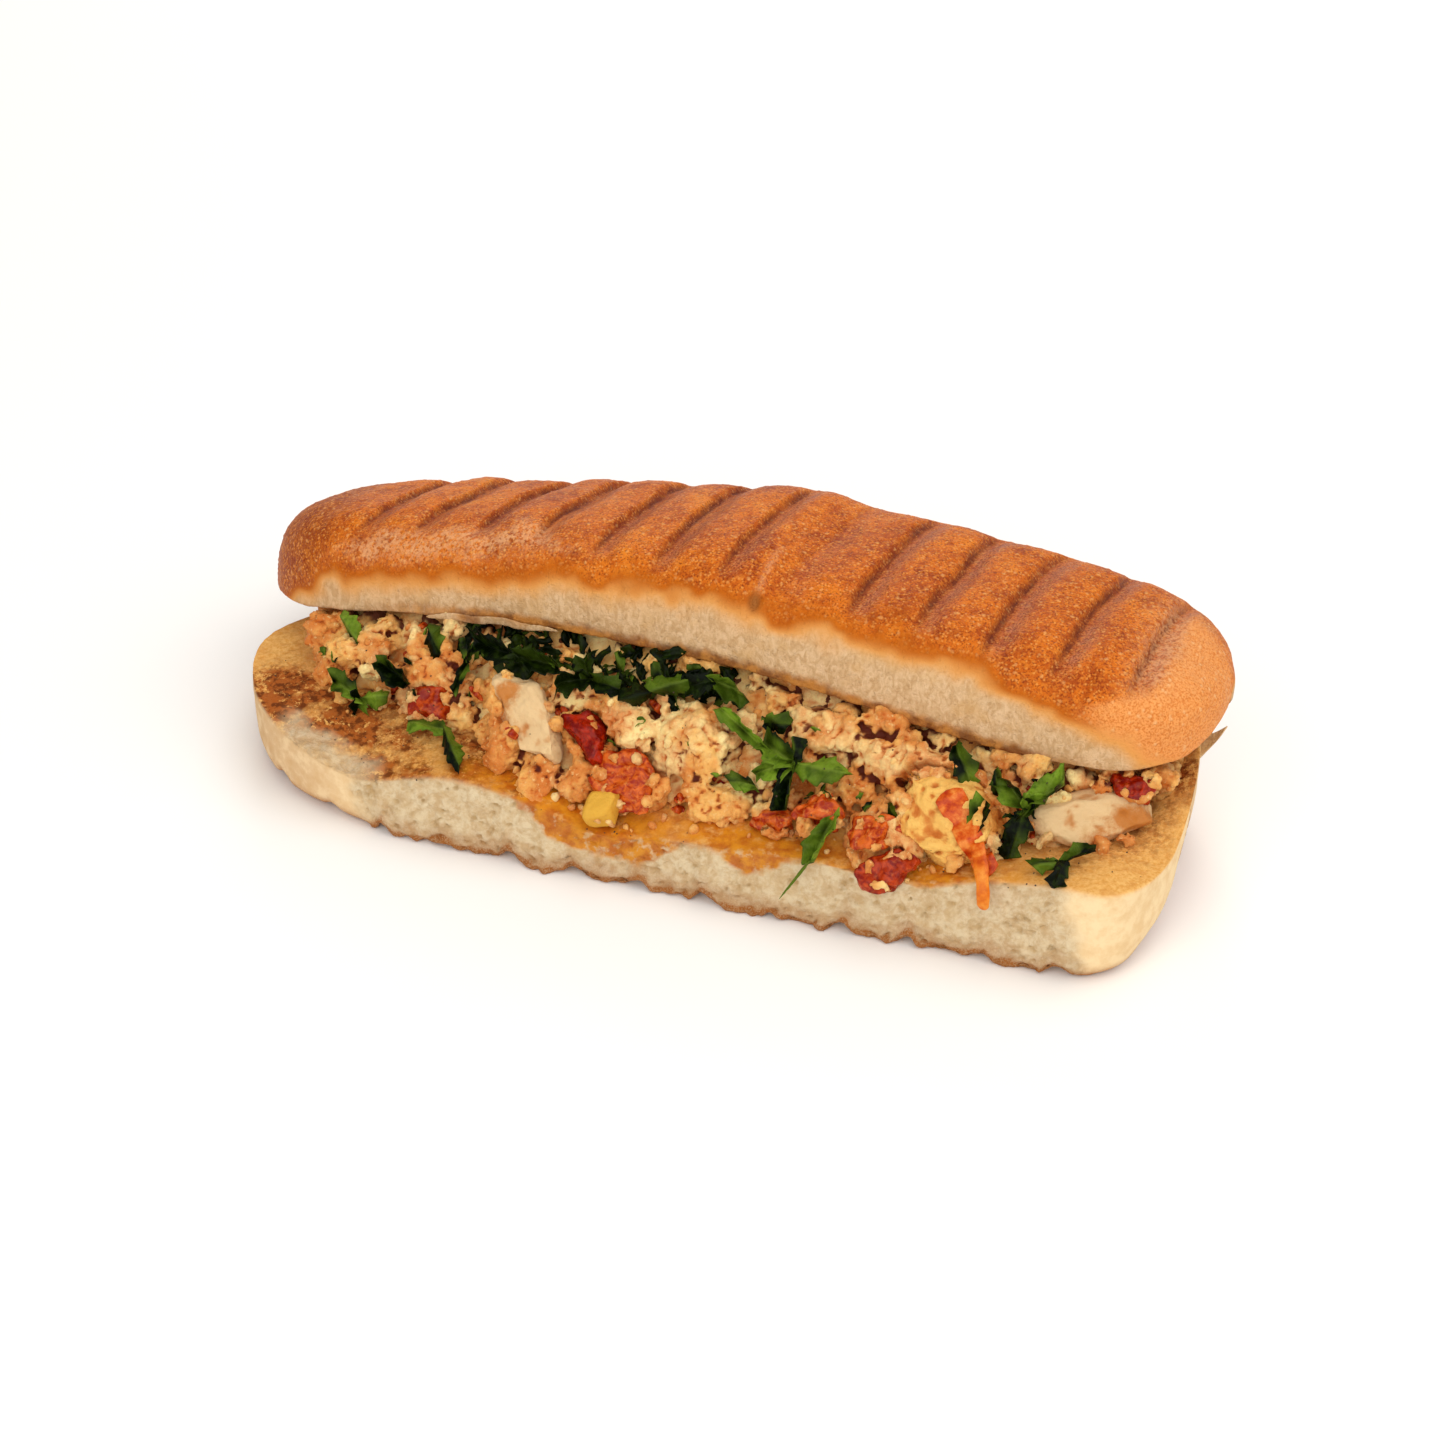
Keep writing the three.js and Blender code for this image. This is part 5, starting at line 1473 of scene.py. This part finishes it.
LEAF_CORNERS = [0, 0.16, 0.4, 0.62, 0.85, 1]  # shares of a leaflet's length where its outline bends
LEAF_NARROW = [0.2, 0.45, 0.55, 0.6, 0.4, 0.1]  # least and greatest share of its width there
LEAF_WIDE = [0.7, 1, 1.2, 1.2, 1.1, 1]
TOOTH_LENGTH = 3.2


def leaflet(knot, tip, width, seed, thickness=0.36, arch=1.2, rows=32, columns=12):
    """A cut, folded leaflet with a few blunt teeth, as a thin wavy solid."""
    random = np.random.default_rng(500 + seed)
    t = np.linspace(0, 1, rows + 1)
    start, end = np.array(knot, float), np.array(tip, float)
    at, ahead = bezier(start, lerp(start, end, 0.5) + OUTWARD * arch, end, t)
    across = unit(np.cross(unit(OUTWARD + 0.45 * random.uniform(-1, 1, 3)), ahead))
    out = np.cross(ahead, across)
    v = np.linspace(-1, 1, columns + 1)
    teeth = max(1.5, np.linalg.norm(end - start) / TOOTH_LENGTH)
    sides = []
    for _ in range(2):
        phase = t * teeth + random.random()
        tooth = (phase - np.floor(phase)) ** 1.3
        outline = np.interp(t, LEAF_CORNERS, random.uniform(LEAF_NARROW, LEAF_WIDE))
        sides.append(outline * (1 + 0.34 * (tooth - 0.5)))
    edge = np.where(v[None, :] < 0, sides[0][:, None], sides[1][:, None])
    fold = random.uniform(-1.2, 1.4) * width * 0.45
    wave = 0.5 * np.sin(4 * t[:, None] + 2.1 * seed + 1.7 * v) + fold * (np.abs(v) - 0.4)
    slant = 0.4 * random.uniform(-1, 1) * v[None, :] * width
    middle = (at[:, None] + across[:, None] * (v * edge * width / 2)[..., None]
              + ahead[:, None] * slant[..., None] + out[:, None] * wave[..., None])
    middle = middle + out[:, None] * (0.4 * fractal(middle, 2.6, 2, seed))[..., None]
    groove = 0.12 * np.exp(-((v / 0.16) ** 2))
    half = thickness * (0.5 - 0.25 * np.abs(v) ** 3)
    upper = middle + out[:, None] * (half - groove)[None, :, None]
    lower = middle - out[:, None] * (half + groove)[None, :, None]
    rings = np.concatenate([upper, lower[:, ::-1]], axis=1)
    branch = np.exp(-(((t[:, None] * teeth - 1.2 * np.abs(v)) % 1.0 - 0.5) / 0.12) ** 2) * 0.45
    vein = np.maximum(bell(v, 0, 0.13), branch)
    marks = dict(vein=np.concatenate([vein, vein[:, ::-1]], axis=1), side=np.sign(np.append(v, v[::-1])))
    marks = ring_masks(marks, rings)
    points, faces = tube(rings)
    # The tone is darker on one side of the midrib as painted shade of the fold, and its noise is partly
    # painted shading.
    tone = random.uniform(-0.15, 0.7) + 0.22 * marks["side"] + 0.45 * noise(points, 3, seed)
    return points, faces, dict(vein=marks["vein"], tone=np.clip(tone, 0, 1))


def parsley():
    made = []
    for i, (name, (knot, tips, width)) in enumerate(PARSLEY.items()):
        parts = [leaflet(knot, tip, width * (1 - 0.08 * k), 10 * i + k) for k, tip in enumerate(tips)]
        # The band's leaflets are darkened with painted shadow, most in band_one.
        if name.startswith("band"):
            light = 0.3 if name == "band_one" else 1
            for k, (_, _, masks) in enumerate(parts):
                masks["tone"] = light * BAND_SHADOW_TONES[k % 4] * masks["tone"]
        if name == "stalk":
            middle = lerp(np.array(tips[0]), np.array(STALK_END), 0.5)
            path, _ = bezier(tips[0], middle, STALK_END, np.linspace(0, 1, 40))
            parts.append((*ribbon(path, 0.9, 0.8, sides=10, taper=0.6, seed=3), dict(vein=0.4, tone=0.4)))
        points, faces, masks = joined(parts)
        node = "parsley_" + name
        made.append(piece(node + "_leaf", points, faces, "parsley", (node,), masks))
    return made


# Small extras that have no solid of their own. A pick gives a random place and a direction to look in.

DROP_HEIGHT = 40
LONGEST_DROP = 60
DOWN = (0, 0, -1)


def over_slope(random):
    x = random.uniform(FILLING["left"] + 3, FILLING["right"] - 3)
    return slope_point(x, random.uniform(0.0, 0.9)) + 14 * OUTWARD, -OUTWARD


def under_brow(random):
    x = random.uniform(-57, 13)
    return slope_point(x, random.uniform(0.76, 0.98)) + 9 * OUTWARD, -OUTWARD


def over_toe(random):
    x = random.uniform(-92, 96)
    return (x, along(FILLING_TOE, x) - abs(random.normal(0, 2.6)) + 0.5, DROP_HEIGHT), DOWN


def over_inner_face(random):
    x = random.choice([random.uniform(-108, -50), random.uniform(-50, 80), random.uniform(80, 108)])
    return (x, random.uniform(torn_edge(x) + 1, along(FILLING_TOE, x)), DROP_HEIGHT), DOWN


def landings(random, count, tree, pick):
    """Places on the tree that are met from picked places, with the directions."""
    found = 0
    while found < count:
        origin, direction = pick(random)
        hit = tree.ray_cast(Vector(origin), Vector(direction), LONGEST_DROP)
        if hit[0] is not None:
            found += 1
            yield np.array(hit[0]), np.array(direction)


def slope_heading(random):
    """A random direction along the front slope."""
    turn = random.uniform(0, 2 * np.pi)
    return np.array([math.cos(turn), 0.7 * math.sin(turn), 0.7 * math.sin(turn)])


def scattered(random, kind, tree, pick, lift=0.25, level=2):
    """Small broken bits dropped on what lies under picked places."""
    count, size = LOOSE[kind]
    parts = []
    for place, direction in landings(random, count, tree, pick):
        sides = random.uniform(*size) * random.uniform(0.6, 1.3, 3)
        parts.append(crumb(random, place - direction * lift * sides.min(), sides, level, 12))
    return parts


def parsley_flecks(random, tree, pick, count, reach, width, dark=False):
    """Small chopped bits of parsley, lying on what is under picked places."""
    flecks = []
    for place, _ in landings(random, count, tree, pick):
        start, heading = place + 0.5 * OUTWARD, slope_heading(random)
        end = start + random.uniform(*reach) * heading
        points, faces, masks = leaflet(start, end, random.uniform(*width), int(random.integers(300, 9000)),
                                       thickness=0.25, arch=0.3, rows=8, columns=4)
        # Flecks under the brow are darkened with painted shadow.
        share = BROW_FLECK_SHADOW_TONES[len(flecks) % 3] if dark else 1
        flecks.append((points, faces, {**masks, "tone": share * masks["tone"]}))
    return flecks


def shreds(random, tree):
    """Short torn strips of tomato, half sunk into what is under them."""
    strips = []
    for place, _ in landings(random, SHRED_COUNT, tree, over_slope):
        heading = slope_heading(random)
        run = np.linspace(-0.5, 0.5, 16)[:, None] * random.uniform(2.2, 5.5)
        path = place + 0.05 * OUTWARD + run * heading + 0.5 * np.cos(3 * run) * OUTWARD
        width, seed = random.uniform(1.2, 2.6), int(random.integers(1, 900))
        strips.append(ribbon(path, width, 0.8, sides=10, seed=seed))
    return strips


def extras(bread, heap, pieces):
    random = np.random.default_rng(77)
    floor_tree, heap_tree, all_tree = (toppings_tree(objects) for objects in ([bread], heap, heap + pieces))
    crumbs = scattered(random, "heap_crumbs", heap_tree, over_slope, lift=0.0)
    crumbs += scattered(random, "toe_crumbs", floor_tree, over_toe)
    points, faces, _ = joined(crumbs)
    masks = dict(stain=0.5 + 0.5 * fractal(points, 6, 2, 181), tone=0.5 + 0.5 * noise(points, 5, 182))
    piece("egg_crumbs", points, faces, "egg", (), masks)
    points, faces, _ = joined(shreds(random, heap_tree))
    piece("tomato_bits", points, faces, "tomato", (), dict(tone=0.5 + 0.5 * noise(points, 4, 183)))
    specks = scattered(random, "heap_specks", all_tree, over_slope, level=1)
    specks += scattered(random, "face_specks", floor_tree, over_inner_face, level=1)
    points, faces, _ = joined(specks)
    piece("pepper_specks", points, faces, "speck")
    flecks = parsley_flecks(random, heap_tree, over_slope, **FLECKS)
    flecks += parsley_flecks(random, heap_tree, under_brow, **BROW_FLECKS, dark=True)
    points, faces, masks = joined(flecks)
    piece("parsley_flecks", points, faces, "parsley", (), masks)


def edge_flake():
    x = np.linspace(FLAKE["left"], FLAKE["right"], 50)
    y = top_front(x)
    z = cut_face(x, y) + FLAKE["above"] + 0.25 * np.sin(x * 0.5)
    points, faces = ribbon(np.stack([x, y - FLAKE["ahead"], z], -1), FLAKE["width"], FLAKE["thickness"],
                           facing=np.array([0, -1.0, 0.2]), seed=31, taper=0.2)
    masks = dict(cut=np.clip(0.2 + 0.6 * noise(points, 3, 32), 0, 1))
    piece("bread_flake", points, faces, "crust", (), masks)


def rim_flap():
    path, _ = bezier(*RIM_FLAP["path"], np.linspace(0, 1, 40))
    points, faces = ribbon(path, RIM_FLAP["width"], RIM_FLAP["thickness"],
                           facing=unit(np.array(RIM_FLAP["facing"])), seed=35, taper=0.9, ragged=0.05)
    piece("rim_flap", points, faces, "crumb", (), dict(torn=1.0, inner=0.5))


# Camera, light and floor.

def stage_and_light():
    plane = bmesh.new()
    bmesh.ops.create_grid(plane, x_segments=1, y_segments=1, size=FLOOR_HALF_SIZE)
    mesh = bpy.data.meshes.new("floor")
    plane.to_mesh(mesh)
    plane.free()
    mesh.materials.append(Surface("floor", roughness=0.9).finish(FLOOR_COLOUR))
    ground = added("floor", mesh)

    world = bpy.data.worlds.new("studio")
    world.use_nodes = True
    background = world.node_tree.nodes["Background"]
    background.inputs["Color"].default_value = (1.0, 1.0, 1.0, 1.0)
    background.inputs["Strength"].default_value = SKY_STRENGTH
    bpy.context.scene.world = world

    for name, (place, size, power, colour) in LIGHTS.items():
        light = bpy.data.lights.new(name, "AREA")
        light.shape = "SQUARE"
        light.size = size
        light.energy = power
        light.color = colour
        made = added(name, light)
        made.location = place
        made.rotation_euler = (Vector(LIGHT_TARGET) - Vector(place)).to_track_quat("-Z", "Y").to_euler()


def camera():
    azimuth, elevation = math.radians(CAMERA["azimuth"]), math.radians(CAMERA["elevation"])
    back = Vector((math.sin(azimuth) * math.cos(elevation), -math.cos(azimuth) * math.cos(elevation),
                   math.sin(elevation)))
    target = Vector(((np.array(CAMERA["target"]) + SHIFT) * MM).tolist())
    lens = bpy.data.cameras.new("camera")
    lens.sensor_width = 36
    lens.lens = lens.sensor_width * CAMERA["focal"] / CAMERA["frame"]
    made = added("camera", lens)
    made.location = target + back * CAMERA["distance"] * MM
    made.rotation_euler = (-back).to_track_quat("-Z", "Y").to_euler()
    bpy.context.scene.camera = made


camera()
stage_and_light()
bpy.context.scene.view_settings.view_transform = "Standard"

bottom = bottom_half()
top_half()
firm = egg_pieces() + tomato_pieces()
thin = pepper_strips(toppings_tree(firm[:4])) + parsley()
heap = egg_heap(firm, thin)
extras(bottom, heap, firm + thin)
edge_flake()
rim_flap()
